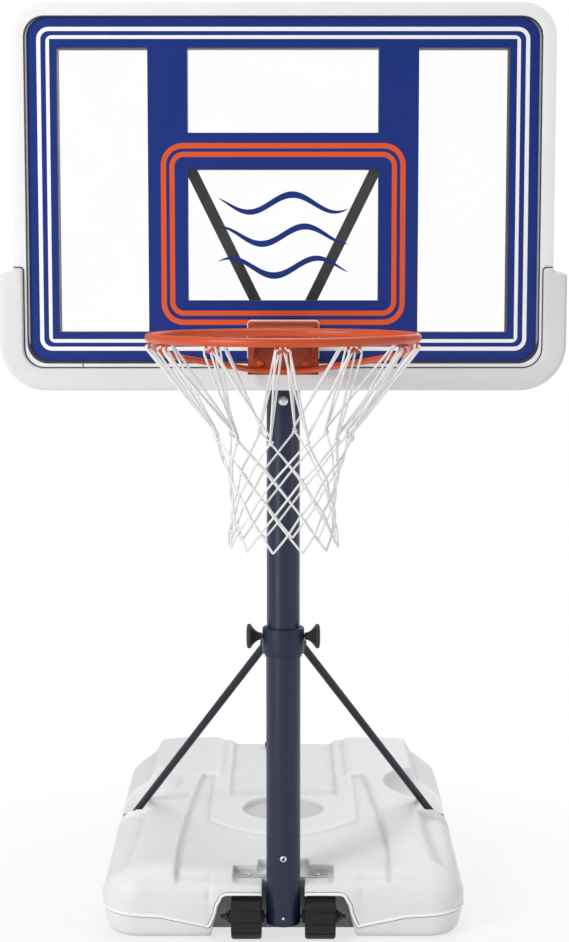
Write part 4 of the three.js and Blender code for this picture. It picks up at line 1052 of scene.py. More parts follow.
first, second = 20.5 * mm, 36.5 * mm
first_side, second_side = 24.3 * mm, 42.2 * mm
stripe_width = 8 * mm
stripe("stripe_outer", ink_white, print_right - first_side,
       print_bottom + first, print_top - first, stripe_width, 24 * mm)
stripe("stripe_inner", ink_white, print_right - second_side,
       print_bottom + second, print_top - second, 7 * mm, 12 * mm, 0)
stripe("target_outer", ink_orange, 240 * mm, 1306 * mm, 1661 * mm, 10.5 * mm, 43 * mm)
stripe("target_inner", ink_orange, 223 * mm, 1324 * mm, 1644 * mm, 10 * mm, 28 * mm)
print("stripes are", stripe_width, "m wide")

# %% Dark walls behind the windows
return_depths = {"left": 46 * mm, "right": 46 * mm, "upper": 40 * mm, "target": 30 * mm}
return_wall = 1.6 * mm


def window_return(name, depth, x0, x1, z0, z1):
    front = panel_back + 0.3 * mm
    outer = rectangle(x0 - return_wall, x1 + return_wall, z0 - return_wall, z1 + return_wall, mm)
    ring = plate(outer, front, front + depth)
    cut(ring, block((x0, front - 0.1, z0), (x1, front + 0.1, z1)))
    soften(0.4 * mm, 2)
    return done(name, steel_black, "upper", "black_steel")


for title, (x0, x1, z0, z1) in windows.items():
    window_return(f"window_return_{title}", return_depths[title], x0, x1, z0, z1)
print("window returns:", len(windows))

# %% [markdown]
# The middle of the target carries a plain print in the same blue: three tapered waves, one above
# the other. Each wave is an outline worked out from a sine, thick in the middle and pointed at
# its ends.

# %% Waves in the target
wave_half = 128 * mm
wave_height = 17 * mm
wave_thickness = 13 * mm
wave_gap = 62 * mm
wave_steps = 60


def wave(name, level, turns, phase):
    upper, lower = [], []
    for step in range(wave_steps + 1):
        share = step / wave_steps * 2 - 1
        thickness = wave_thickness * (1 - share ** 2) ** 0.75 + 0.3 * mm
        height = level + wave_height * math.sin(math.pi * turns * share + phase)
        upper.append(Vector((wave_half * share, height + thickness / 2)))
        lower.append(Vector((wave_half * share, height - thickness / 2)))
    plate([*lower, *reversed(upper)], print_front, print_back)
    return done(name, ink_blue, "upper", "board_ink")


wave_middle = (target_bottom + target_top) / 2
for count in (-1, 0, 1):
    wave(f"target_wave_{count + 2}", wave_middle + count * wave_gap, 1.5, count * 0.9)
print("three waves, ", round(wave_half * 2, 3), "m long")

# %% [markdown]
# ## The pad
# The U-shaped pad is a moulded cover over the lower edge and corners of the board. Its outline is
# drawn in by a growing amount in a row of rings, which gives the broad soft bevel outside, the
# smaller one along its inner edge, and arms whose tops slope down to the outside.

# %% Pad outline
pad_left, pad_right = span("bottom_pad", "x")
pad_front, pad_back = span("bottom_pad", "y")
pad_bottom, pad_top = span("bottom_pad", "z")
pad_inner, pad_inner_bottom = 512 * mm, 1221 * mm
pad_corner, pad_inner_corner = 92 * mm, 40 * mm
arm_slope = 12.5 * mm
step_out = frame_right + 2.5 * mm
outer_soft, inner_soft, front_soft = 11 * mm, 4 * mm, 7 * mm
back_soft = 3 * mm


def pad_ring(outer, inner, depth):
    """The pad's outline drawn in by one amount outside and another inside."""
    half, foot = pad_right - outer, pad_bottom + outer
    top = pad_top - min(outer, 5 * mm) - min(inner, 0)
    hole, hole_foot = pad_inner + inner, pad_inner_bottom - inner
    right = [
        (half, foot, pad_corner - outer), (half, top - arm_slope, 6 * mm),
        (step_out - outer * 0.5, top - 5 * mm, 2 * mm),
        (step_out - 3 * mm - outer * 0.6, top, 3 * mm),
        (hole, top, (7 - inner / inner_soft * 2) * mm), (hole, hole_foot, pad_inner_corner + inner),
    ]
    left = [(-x, z, radius) for x, z, radius in reversed(right)]
    return [(x, depth, z) for x, z in rounded([*right, *left], 12)]


def loft(rings):
    """A closed body over rings that have as many points each."""
    count = len(rings[0])
    last = (len(rings) - 1) * count
    faces = [tuple(range(count)), tuple(reversed(range(last, last + count)))]
    for start in range(0, last, count):
        for i in range(count):
            here, beyond = start + i, start + (i + 1) % count
            faces.append((here, beyond, beyond + count, here + count))
    return body_of([point for ring in rings for point in ring], faces)


print("pad outline has", len(pad_ring(0, 0, 0)), "points")

# %% Pad
turns = [math.pi / 2 * step / 6 for step in range(7)]
pad_rings = [pad_ring(outer_soft * (1 - math.sin(turn)), inner_soft * (1 - math.sin(turn)),
                      pad_front + front_soft * (1 - math.cos(turn))) for turn in turns]
pad_rings += [pad_ring(back_soft * (1 - math.cos(turn)), back_soft * (1 - math.cos(turn)),
                       pad_back - back_soft * (1 - math.sin(turn))) for turn in turns[::2]]
pad = loft(pad_rings)
play = 0.3 * mm
frame_seat = plate(rectangle(frame_left - play, frame_right + play, frame_bottom - play, frame_top,
                             frame_corner + play), frame_front - play, frame_back + play)
cut(pad, frame_seat,
    block((-room, pad_front - 0.1, span("rim_rod", "z")[0] - play),
          (room, panel_front - play, room_top)),
    block((-behind_room, panel_front, span("cross_plate", "z")[0] - play),
          (behind_room, pad_back + 0.1, room_top)))
smooth(40)
done("edge_pad", pad_white, "upper", "pad_plastic", "bottom_pad")
print("pad", round(pad_right - pad_left, 3), "m wide,", len(pad.data.polygons), "faces")

# %% Painted shadow along the pad's inner edge
shadow_strip_width, shadow_strip_height = 2.2 * mm, 1.4 * mm


def flat(ring):
    return [(x, z) for x, _, z in ring]


# Painted shadow: a thin near-black strip along the pad's inner edge, where the pad meets the frame.
pad_shadow_strip = plate(flat(pad_ring(0, -shadow_strip_width, 0)), frame_front - shadow_strip_height,
             frame_front - 0.05 * mm)
cut(pad_shadow_strip, plate(flat(pad_ring(0, 0, 0)), frame_front - 0.01, frame_front + 0.01),
    block((-room, frame_front - 0.1, 0), (room, frame_front + 0.1, room_top)),
    block((frame_right - mm, frame_front - 0.1, 0), (1, frame_front + 0.1, 3)),
    block((-1, frame_front - 0.1, 0), (mm - frame_right, frame_front + 0.1, 3)))
done("pad_edge_shadow", painted_shadow_black, "upper", "black_plastic")
print("bead faces:", len(pad_shadow_strip.data.polygons))

# %% [markdown]
# ## The rim
# The rim is a bent rod, welded into a ring: a torus. Below it hang twelve wire hooks, each bent to
# a soft W, so that a pair of net loops lies in its two hollows. A longer rod is bent up from the
# bracket to the ring's underside on both sides.

# %% Ring and hooks
rim_y, rim_z = -688.25 * mm, 1297 * mm
rim_radius, rim_rod = 236.5 * mm, 8 * mm
hook_count = 12


def around(angle, radius, height):
    """A place round the rim's axis; angle 0 faces the player."""
    return Vector((radius * math.sin(angle), rim_y - radius * math.cos(angle), height))


start_fresh()
bpy.ops.mesh.primitive_torus_add(
    location=(0, rim_y, rim_z), major_radius=rim_radius, minor_radius=rim_rod,
    major_segments=160, minor_segments=28)
smooth(60)
rim_ring = bpy.context.object
hook_wire, hook_half, hook_drop = 2.6 * mm, 11 * mm, 17.5 * mm
hook_shape = [(-1, 0.3), (-1, 0.72), (-0.62, 1), (-0.2, 0.78), (0, 0.62),
              (0.2, 0.78), (0.62, 1), (1, 0.72), (1, 0.3)]
hooks = []
for count in range(hook_count):
    spots = []
    for sideways, drop in hook_shape:
        angle = math.tau * count / hook_count + math.asin(sideways * hook_half / rim_radius)
        spots.append(around(angle, rim_radius, rim_z - drop * hook_drop))
    hooks.append(rod(slide(spots, 4), hook_wire, 2))
join(rim_ring, *hooks)
done("rim_and_hooks", rim_orange, "upper", "rim_paint", "rim_ring")
print("rim", round(rim_radius * 2, 3), "m across, with", hook_count, "hooks")

# %% Brace rod below the ring
rod_radius = 6 * mm
bracket_face = span("rim_bracket", "y")[1] - 5 * mm
rod_bends = [
    around(math.radians(180 - 78), rim_radius, rim_z - 8 * mm),
    around(math.radians(180 - 62), rim_radius + 16 * mm, rim_z - 34 * mm),
    Vector((115 * mm, pole_y - 262 * mm, rim_z - 64 * mm)),
    Vector((60 * mm, pole_y - 178 * mm, 1219 * mm)),
    Vector((24 * mm, bracket_face - rod_radius - 0.3 * mm, 1215 * mm)),
]
rod(slide([*rod_bends, *mirrored(rod_bends)], 10), rod_radius, 5)
done("rim_brace_rod", rim_orange, "upper", "rim_paint", "rim_rod")
print("brace rod bends through", len(rod_bends) * 2, "places")

# %% [markdown]
# ## The net
# Twelve cords run down one way, turn in a rounded point and climb back the other way. Where two
# cords cross, one passes outside the other. Above, two pairs of cords rise from each knot to
# the hooks on its two sides and loop over them. A knot is a short coil round the bundle.

# %% Net cords
cord = 2.0 * mm
net_twist = math.radians(5)
row_heights = [height * mm for height in (1119.7, 1082, 1050.5, 1019, 988, 956, 924.5)]
row_radii = [radius * mm for radius in (123, 107, 97.5, 92.5, 91.5, 94, 99)]
last_row = len(row_heights) - 1
half_mesh = math.tau / hook_count / 2


def knot_angle(count):
    return math.tau * (count + 0.5) / hook_count + net_twist


def corded(points):
    """A cord of the net with a UV map: once round, and one unit for each plait along it."""
    piece = rod(points, cord, 2, 60)
    length = sum((b - a).length for a, b in zip(points, points[1:]))
    layer = piece.data.uv_layers.active or piece.data.uv_layers.new(name="UVMap")
    layer.name = "UVMap"
    values = np.zeros(len(layer.data) * 2, np.float32)
    layer.data.foreach_get("uv", values)
    values[0::2] *= length / (cord * 3.2)
    layer.data.foreach_set("uv", values)
    return piece


def crossing(row, turn, direction):
    """A cord's place at a row; it lies outside at every other crossing."""
    lift = cord * 0.95 * (1 if (row % 2 == 0) == (direction > 0) else -1)
    if row in (0, last_row):
        lift = 0
    return around(turn, row_radii[row] + lift, row_heights[row])


cords = []
near_tip = 0.16
for count in range(hook_count):
    start = knot_angle(count)
    down = [crossing(row, start + half_mesh * row, 1) for row in range(last_row + 1)]
    tip = start + half_mesh * last_row
    up = [crossing(row, tip + half_mesh * (last_row - row), -1)
          for row in range(last_row - 1, -1, -1)]
    soft_tip = [
        down[-1].lerp(down[-2], near_tip) + Vector((0, 0, -0.2 * mm)),
        down[-1] + Vector((0, 0, 1.4 * mm)),
        down[-1].lerp(up[0], near_tip) + Vector((0, 0, -0.2 * mm)),
    ]
    cords.append(corded(slide([*down[:-1], *soft_tip, *up], 5)))
print("net cords:", len(cords))

# %% Loops and knots of the net
hook_foot = rim_z - hook_drop
loop_spread = 8 * mm
leg_spread, leg_shift = 4.5 * mm, 1.9 * mm
knot_height = 19 * mm
coil_turns, coil_radius, coil_steps = 1.6, 3.6 * mm, 44


def kept_in(point):
    """The same place, drawn in so that a cord stays inside the rim's outline."""
    out = Vector((point.x, point.y - rim_y, 0))
    limit = rim_radius + rim_rod - cord - 0.4 * mm
    out *= min(1, limit / out.length)
    return Vector((out.x, out.y + rim_y, point.z))


def hanging_pair(hook, knot, side):
    """A loop from a knot over a hook's hollow and back."""
    middle_turn = math.tau * hook / hook_count + math.asin(side * loop_spread / rim_radius)
    reach = hook_wire + cord
    foot = row_heights[0] + knot_height / 2
    arc = [around(middle_turn - side * leg_spread / rim_radius * math.cos(turn),
                  rim_radius - reach * 0.8 * math.cos(turn), hook_foot + reach * math.sin(turn))
           for turn in (math.pi * step / 8 for step in range(9))]
    near, far = row_radii[0] - leg_shift, row_radii[0] + leg_shift
    turn = knot_angle(knot)
    inner, outer = around(turn, near, foot), around(turn, far, foot)
    inner_neck = inner.lerp(arc[0], 0.5) + Vector((0, 0, -3 * mm))
    outer_neck = outer.lerp(arc[-1], 0.5) + Vector((0, 0, -3 * mm))
    drop = Vector((0, 0, -4 * mm))
    over = [inner, inner_neck, arc[0] + drop, *arc, arc[-1] + drop, outer_neck, outer]
    return corded([around(turn, near, row_heights[0]), *map(kept_in, slide(over, 3)),
                   around(turn, far, row_heights[0])])


def knot_coil(count):
    """Two wraps of cord round the bundle, a little slanted, over a short core."""
    centre_line = around(knot_angle(count), row_radii[0], row_heights[0])
    spots = []
    for step in range(coil_steps + 1):
        share = step / coil_steps
        turn = math.tau * coil_turns * share
        reach = coil_radius * (0.35 + 0.65 * min(1, share * 6, (1 - share) * 6))
        spots.append(centre_line + Vector((
            reach * math.cos(turn), reach * math.sin(turn), (share - 0.5) * knot_height * 0.45)))
    return corded(spots)


for count in range(hook_count):
    cords.append(hanging_pair(count, count, 1))
    cords.append(hanging_pair(count + 1, count, -1))
    cords.append(knot_coil(count))
join(*cords)
done("net_cords", net_white, "upper", "net_cord", "net")
print("net triangles:", sum(len(face.vertices) - 2 for face in bpy.context.object.data.polygons))

# %% [markdown]
# ## The tank
# The base is a blow-moulded tank with double-curved skin: sloping shoulders, a deck with a sunk
# panel, a platform with a well, a channel behind and scoops at the sides. Its blank is a grid over
# the deck, laid out by a rounded outline and raised by a height formula, with rings of the same
# outline for the shoulders and the bottom. Boolean cuts, a voxel remesh and a little smoothing
# then give the soft inner and outer corners that a blow mould has.

# %% Outline of the tank
tank_low, tank_high = (Vector(corner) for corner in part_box("base_tank"))
front_half, back_half = 388 * mm, 397.5 * mm
front_corner, back_corner = 80 * mm, 110 * mm
seam_z = 85 * mm
deck_front_z, deck_back_z = 152 * mm, 176 * mm
tank_front = tank_low.y + 0.3 * mm
tank_back = tank_high.y - 0.8 * mm


def outline(u, v, side, ahead, behind, corner_share=1.0):
    """Places on a rounded outline for u and v from -1 to 1, drawn in by insets; both are arrays."""
    ring = np.maximum(np.abs(u), np.abs(v))
    low, high = tank_front + ahead, tank_back - behind
    length = (high - low) / 2
    back_share = (v + 1) / 2
    half = front_half + (back_half - front_half) * back_share - side
    corner = (np.where(v < 0, front_corner, back_corner) - side) * corner_share * ring
    x, y = np.abs(u) * half, np.abs(v) * length
    hub_x, hub_y = ring * half - corner, ring * length - corner
    over_x, over_y = x - hub_x, y - hub_y
    over = np.hypot(over_x, over_y)
    in_corner = (over_x > 0) & (over_y > 0) & (over > 0)
    pull = np.where(in_corner, corner / np.where(over > 0, over, 1), 1)
    x = np.where(in_corner, hub_x + over_x * pull, x)
    y = np.where(in_corner, hub_y + over_y * pull, y)
    return np.sign(u) * x, (low + high) / 2 + np.sign(v) * y


def step_up(value, low, high):
    """0 below, 1 above and a soft slope between."""
    share = np.clip((value - low) / (high - low), 0, 1)
    return share * share * (3 - 2 * share)


print("tank", round(back_half * 2, 3), "by", round(tank_back - tank_front, 3), "m")

# %% [markdown]
# The deck's height is a sum of soft steps. All places along the tank are measured from the pole's
# axis, so they grow away from the player.

# %% Height of the deck
panel_depth, platform_rise, channel_depth = 14 * mm, 6 * mm, 18 * mm
ridge_places = [50 * mm, 110 * mm, 218 * mm, 430 * mm, 600 * mm, 712 * mm]
ridge_widths = [232 * mm, 235 * mm, 233 * mm, 224 * mm, 212 * mm, 202 * mm]
sunk_back = 712 * mm
platform_half = 172 * mm
channel_half, channel_front = 132 * mm, 530 * mm
soft_wall = 4.5 * mm
deck_inset, deck_front_inset = 42 * mm, 75 * mm
deck_fall, fall_start, fall_end = 5 * mm, 240 * mm, 350 * mm
platform_front, platform_bow = 250 * mm, 110 * mm
platform_soft, beside_soft, channel_soft = 14 * mm, 22 * mm, 90 * mm
deck_front = tank_front + deck_front_inset - pole_y + mm


def deck_height(x, y):
    """The plain deck, which slopes up to the back and down to its sides."""
    share = (y - tank_front) / (tank_back - tank_front)
    height = deck_front_z + (deck_back_z - deck_front_z) * share
    return height - deck_fall * step_up(np.abs(x), fall_start, fall_end)


def deck_drop(x, y):
    """How far the panel, its platform and the channel lie below the plain deck."""
    behind = y - pole_y
    across = np.abs(x)
    ridge = np.interp(behind, ridge_places, ridge_widths)
    in_panel = step_up(ridge - across, 0, soft_wall) * step_up(sunk_back - behind, 0, soft_wall)
    bowed_front = platform_front + platform_bow * (across / platform_half) ** 2
    on_platform = step_up(platform_half - across, 0, soft_wall)
    on_platform = on_platform * step_up(behind - bowed_front, 0, platform_soft)
    low = in_panel * (panel_depth - platform_rise * on_platform)
    beside_channel = step_up(platform_half - across, 0, beside_soft)
    beside_channel = beside_channel * step_up(behind, channel_front, sunk_back)
    drop = np.maximum(low, (panel_depth - platform_rise) * beside_channel)
    in_channel = step_up(channel_half - across, 0, soft_wall)
    in_channel = in_channel * step_up(behind - channel_front, 0, channel_soft)
    return drop + (channel_depth - drop) * in_channel


print("deck starts", round(deck_front, 4), "m behind the pole")
at_well = deck_height(np.array([0.0]), np.array([pole_y + 0.4]))
print("deck at the well:", round(float(at_well[0]), 4))

# %% Blank of the tank
cells_across, cells_along = 190, 250
shoulder_rings = 12
under_rings = [
    (1 * mm, 76 * mm), (2.5 * mm, 62 * mm), (5 * mm, 44 * mm), (8.5 * mm, 27 * mm),
    (12 * mm, 14 * mm), (17 * mm, 7 * mm), (24 * mm, 2.4 * mm), (34 * mm, 0),
]


def tank_blank():
    u, v = np.meshgrid(np.linspace(-1, 1, cells_across + 1), np.linspace(-1, 1, cells_along + 1))
    u, v = u.ravel(), v.ravel()
    x, y = outline(u, v, deck_inset, deck_front_inset, deck_inset)
    points = [np.column_stack([x, y, deck_height(x, y)])]
    row = cells_across + 1
    faces = [(a, a + 1, a + 1 + row, a + row)
             for j in range(cells_along) for a in range(j * row, j * row + cells_across)]
    border = [*range(cells_across), *(cells_across + row * j for j in range(cells_along)),
              *(row * cells_along + i for i in range(cells_across, 0, -1)),
              *(row * j for j in range(cells_along, 0, -1))]
    edge_u, edge_v = u[border], v[border]
    deck = points[0][border]
    seam_x, seam_y = outline(edge_u, edge_v, 0, 0, 0)
    rings = []
    for count in range(1, shoulder_rings + 1):
        turn = math.pi / 2 * count / shoulder_rings
        out, up = math.sin(turn), math.cos(turn)
        rings.append(np.column_stack([
            deck[:, 0] + (seam_x - deck[:, 0]) * out, deck[:, 1] + (seam_y - deck[:, 1]) * out,
            seam_z + (deck[:, 2] - seam_z) * up]))
    for inset, height in under_rings:
        ring_x, ring_y = outline(edge_u, edge_v, inset, inset, inset)
        rings.append(np.column_stack([ring_x, ring_y, np.full(len(border), height)]))
    start = len(points[0])
    last = border
    for ring in rings:
        here = list(range(start, start + len(border)))
        for i in range(len(border)):
            j = (i + 1) % len(border)
            faces.append((last[i], here[i], here[j], last[j]))
        last, start = here, start + len(border)
        points.append(ring)
    faces.append(tuple(reversed(last)))
    return body_of(np.vstack(points).tolist(), faces)


tank = tank_blank()
print("blank:", len(tank.data.vertices), "points")

# %% [markdown]
# The panel is pressed into the blank by moving points, as with a smooth brush, and it runs out down
# the front slope. So are a long soft scoop in each outer shoulder, the lower ledges behind the
# side pockets and a shallow hollow on each side of the wheel notch.

# %% Pressed shapes
def band(value, rise, full, fade, end):
    """1 between two places and 0 outside, with a soft slope on each side, in millimetres."""
    return step_up(value, rise * mm, full * mm) * (1 - step_up(value, fade * mm, end * mm))


scoop_depth, scoop_half = 24 * mm, 30 * mm
scoop_back, scoop_front_shift, scoop_run = 352 * mm, 12 * mm, 430 * mm
hollow_depth = 5 * mm
ledge_places = [316 * mm, 338 * mm, 390 * mm, 398 * mm]
ledge_heights = [178 * mm, 133 * mm, 104 * mm, 88 * mm]
places = np.array([vertex.co for vertex in tank.data.vertices])
behind = places[:, 1] - pole_y
across = np.abs(places[:, 0])
places[:, 2] -= deck_drop(places[:, 0], places[:, 1]) * step_up(places[:, 2], 112 * mm, 145 * mm)
hollow = band(across, 146, 162, 270, 320)
hollow *= band(places[:, 2], 40, 105, 126, 145)
places[:, 1] += hollow_depth * hollow * (behind < deck_front)
scoop_line = scoop_back + scoop_front_shift * step_up(-behind, -scoop_run, 0)
press = np.exp(-((across - scoop_line) / scoop_half) ** 2) * step_up(behind, 10 * mm, 110 * mm)
press *= step_up(places[:, 2], 88 * mm, 112 * mm) * (1 - step_up(behind, 425 * mm, 440 * mm))
places[:, 2] -= scoop_depth * press
places[:, 0] -= np.sign(places[:, 0]) * scoop_depth * 0.7 * press
ledge = np.interp(across, ledge_places, ledge_heights)
behind_pocket = step_up(behind, 600 * mm, 660 * mm)
places[:, 2] += (np.minimum(places[:, 2], ledge) - places[:, 2]) * behind_pocket
tank.data.vertices.foreach_set("co", places.astype(np.float32).ravel())
tank.data.update()
print("scooped points:", int((press > 0.1).sum()))

# %% Cuts in the tank
notch_roof = 97.5 * mm
notch_depth = pole_y + 62 * mm
ahead = tank_front - 0.1
high = deck_back_z + 0.1
below = -0.1
notch_foot, notch_half, notch_corner = 156 * mm, 131 * mm, 16 * mm
notch_low = notch_foot - below * (notch_foot - notch_half) / notch_roof
notch = plate(rounded([
    (-notch_low, below, 0), (notch_low, below, 0),
    (notch_half, notch_roof, notch_corner), (-notch_half, notch_roof, notch_corner),
], 8), ahead, notch_depth)
slot_half, slot_back = 45 * mm, pole_y + 36.3 * mm
shelf_half, shelf_back, shelf_z = 107 * mm, pole_y + 66 * mm, 119 * mm
foot_half, foot_back = 55 * mm, pole_y + 105 * mm
slot = block((-slot_half, ahead, below), (slot_half, slot_back, high))
shelf = block((-shelf_half, ahead, shelf_z), (shelf_half, shelf_back, high))
foot_pocket = block((-foot_half, ahead, shelf_z), (foot_half, foot_back, high))
well_floor, well_radius, well_y = 136.5 * mm, 95 * mm, pole_y + 449 * mm
well = turned([
    (0, well_floor), (well_radius - 2 * mm, well_floor), (well_radius, well_floor + 2 * mm),
    (well_radius, high), (0, high),
], (0, well_y, 0), "z", 96)
cut(tank, notch, slot, shelf, foot_pocket, well)
pocket_floor, pocket_front, pocket_back, beyond_tank = 86 * mm, 437 * mm, 640 * mm, 450 * mm
pocket_outline = rounded([
    (324 * mm, pocket_front, 12 * mm), (beyond_tank, pocket_front, 0),
    (beyond_tank, pocket_back, 0), (306 * mm, pocket_back, 60 * mm),
])
scoop_x, scoop_y, scoop_z = 360 * mm, pole_y + 640 * mm, 171 * mm
scoop_size = (115 * mm, 135 * mm, 85 * mm)
for sign in (1, -1):
    floor_cut = prism([(sign * point[0], pole_y + point[1], pocket_floor)
                       for point in pocket_outline], (0, 0, high))
    start_fresh()
    bpy.ops.mesh.primitive_uv_sphere_add(segments=64, ring_count=32, radius=1)
    scoop = bpy.context.object
    scoop.scale = scoop_size
    scoop.location = (sign * scoop_x, scoop_y, scoop_z)
    apply_place()
    cut(tank, floor_cut, scoop)
print("after the cuts:", len(tank.data.vertices), "points")

# %% Soft corners by a voxel remesh
voxel = 3.3 * mm
modify("REMESH", mode="VOXEL", voxel_size=voxel)
modify("SMOOTH", factor=0.5, iterations=3)
modify("DECIMATE", decimate_type="COLLAPSE", ratio=0.36)
smooth(180)
done("tank_shell", tank_white, "root", "tank_plastic", "base_tank")

# %% Creases for the painted shade on the tank
def mark_creases(piece, rounds=6, scale=0.8 * mm):
    """Stores how far each point lies below its smoothed surroundings, 1 in a deep fold; the tank's
    finish paints shade into its creases by it.
    """
    mesh = piece.data
    count = len(mesh.vertices)
    spots = np.empty(count * 3)
    mesh.vertices.foreach_get("co", spots)
    spots = spots.reshape(-1, 3)
    normals = np.empty(count * 3)
    mesh.vertices.foreach_get("normal", normals)
    normals = normals.reshape(-1, 3)
    ends = np.empty(len(mesh.edges) * 2, int)
    mesh.edges.foreach_get("vertices", ends)
    first_end, last_end = ends[0::2], ends[1::2]
    near_count = np.bincount(ends, minlength=count)[:, None]
    soft = spots.copy()
    for _ in range(rounds):
        soft = np.column_stack([
            np.bincount(first_end, soft[last_end, axis], count)
            + np.bincount(last_end, soft[first_end, axis], count)
            for axis in range(3)]) / near_count
    hollow = ((soft - spots) * normals).sum(axis=1) / scale
    layer = mesh.attributes.new("crease_shade", "FLOAT", "POINT")
    layer.data.foreach_set("value", np.clip(hollow, -0.25, 1).astype(np.float32))
    return hollow


depths = mark_creases(tank)
print("creases from", round(float(depths.min()), 2), "to", round(float(depths.max()), 2))
print("tank triangles:", sum(len(face.vertices) - 2 for face in tank.data.polygons))

# %% [markdown]
# The two halves of the mould leave a raised **seam**. It runs round the tank, dips along the front
# and follows the edge of the wheel notch. Its line is laid near the tank first, and each point is
# then moved onto the skin.

# %% Seam
seam_radius = 3.4 * mm
seam_dips = ([155 * mm, 259 * mm, 389 * mm], [27 * mm, 52 * mm, 60 * mm])


def on_skin(point):
    """The place on the tank's skin nearest to a point."""
    return tank.closest_point_on_mesh(point)[1]


def seam_line():
    edge = np.linspace(-1, 1, 60)
    right = [(u, -1.0) for u in np.linspace(0.41, 1, 40)] + [(1.0, v) for v in edge[1:]]
    back = [(u, 1.0) for u in np.linspace(1, 0, 30)[1:]]
    sides = np.array(right + back)
    x, y = outline(sides[:, 0], sides[:, 1], 0, 0, 0)
    heights = np.interp(x, *seam_dips)
    heights = np.where(sides[:, 1] > -0.9, 60 * mm, heights)
    notch_edge = [
        (46 * mm, 70 * mm), (49 * mm, notch_roof + 3 * mm), (90 * mm, notch_roof + 3.4 * mm),
        (122 * mm, notch_roof + 3 * mm), (133 * mm, notch_roof - 8 * mm), (141 * mm, 70 * mm),
        (151 * mm, 38 * mm),
    ]
    points = [Vector((px, tank_front - 0.02, pz)) for px, pz in notch_edge]
    points += [Vector(point) for point in zip(x, y, heights)]
    return [on_skin(point) for point in slide(points, 3)]


half_line = seam_line()
other_half = mirrored(half_line)
whole_line = [*half_line[:-1], *other_half]
# The bead is painted in a whiter copy of the tank's plastic, as a highlight.
rod(whole_line, seam_radius, 2)
done("tank_seam", seam_highlight_white, "root", "tank_plastic")
beside_seam = 4.2 * mm


def beside(line, side):
    """The line moved sideways over the skin; side 1 is towards the floor and the wheels."""
    moved = []
    for i, point in enumerate(line):
        along = line[min(i + 1, len(line) - 1)] - line[max(i - 1, 0)]
        skin = tank.closest_point_on_mesh(point)[2]
        moved.append(on_skin(point + along.cross(skin).normalized() * beside_seam * side))
    return moved


notch_part = 22
low_line_radius, notch_line_radius = 1.1 * mm, 0.9 * mm
# Painted shadow: thin grey lines beside the seam, below it all round and above it along the wheel
# notch, where its edges cast shade.
join(rod(beside(whole_line, 1), low_line_radius, 2),
     *[rod(beside(part, -1), notch_line_radius, 2)
       for part in (half_line[:notch_part], other_half[-notch_part:])])
done("tank_seam_shadow_lines", edge_and_shade_grey, "root", "tank_plastic")
print("seam follows", len(half_line) * 2, "points")

# %% Painted shade on the floor of the well
# Painted shade: a grey disc, darker than the tank, lies on the floor of the deep well, which is in
# shade.
turned([(0, 0), (90 * mm, 0), (91 * mm, 0.4 * mm), (91 * mm, mm), (0, mm)],
       (0, well_y, well_floor + 0.2 * mm), "z", 96)
done("well_floor", well_shade_grey, "root", "tank_plastic")
print("well floor", round(well_floor, 4))

# %% [markdown]
# The **water** inside is what keeps the hoop standing. It fills the lowest third of the tank,
# clear of the wheel notch and of every bolt.

# %% Water
water_top, water_bottom, water_wall = 62 * mm, 10 * mm, 24 * mm
rising, falling = np.linspace(-1, 1, 25), np.linspace(1, -1, 25)
edge_u = np.array([*rising, *[1] * 23, *falling, *[-1] * 23])
edge_v = np.array([*[-1] * 25, *rising[1:-1], *[1] * 25, *falling[1:-1]])
water_x, water_y = outline(edge_u, edge_v, water_wall, water_wall, water_wall)
fill = prism([(x, y, water_bottom) for x, y in zip(water_x, water_y)],
             (0, 0, water_top - water_bottom))
cut(fill, block((-170 * mm, ahead, below), (170 * mm, notch_depth + 10 * mm, high)))
soften(3 * mm)
done("water_fill", water_blue, "root", "ballast_water", "water_ballast")
print("water up to", round(water_top, 3), "m above the floor")

# %% [markdown]
# ## Wheels and axle
# A wheel is one moulding: a tread with thin grooves across it, dished sides and a hub. The body is
# turned, the tread faces between the grooves are extruded outwards, and ribs are set in the dish.

# %% Wheels
wheel_z = middle("wheel_right", "z")
wheel_radius = width("wheel_right", "z") / 2
hub_length = 6 * mm
hub_start, hub_end = span("wheel_right", "x")
wheel_inner, wheel_outer = hub_start + hub_length, hub_end - hub_length
tread_depth = 1.4 * mm
tread_bars = 12
rib_count, rib_half = 6, 1.6 * mm


def raise_bars(count, gap, radius, height, above=-1):
    """Raises bars on a turned piece's outer side; the gap is a share of each bar's room."""
    def on_bar(face):
        spot = face.calc_center_median()
        turn = math.atan2(spot.y, spot.x) / math.tau * count
        outside = abs(face.normal.z) < 0.2 and math.hypot(spot.x, spot.y) > radius - mm
        return outside and spot.z > above and (turn % 1) > gap

    edit()
    pick("FACE", on_bar)
    bpy.ops.mesh.extrude_region_shrink_fatten(TRANSFORM_OT_shrink_fatten={"value": height})
    leave()


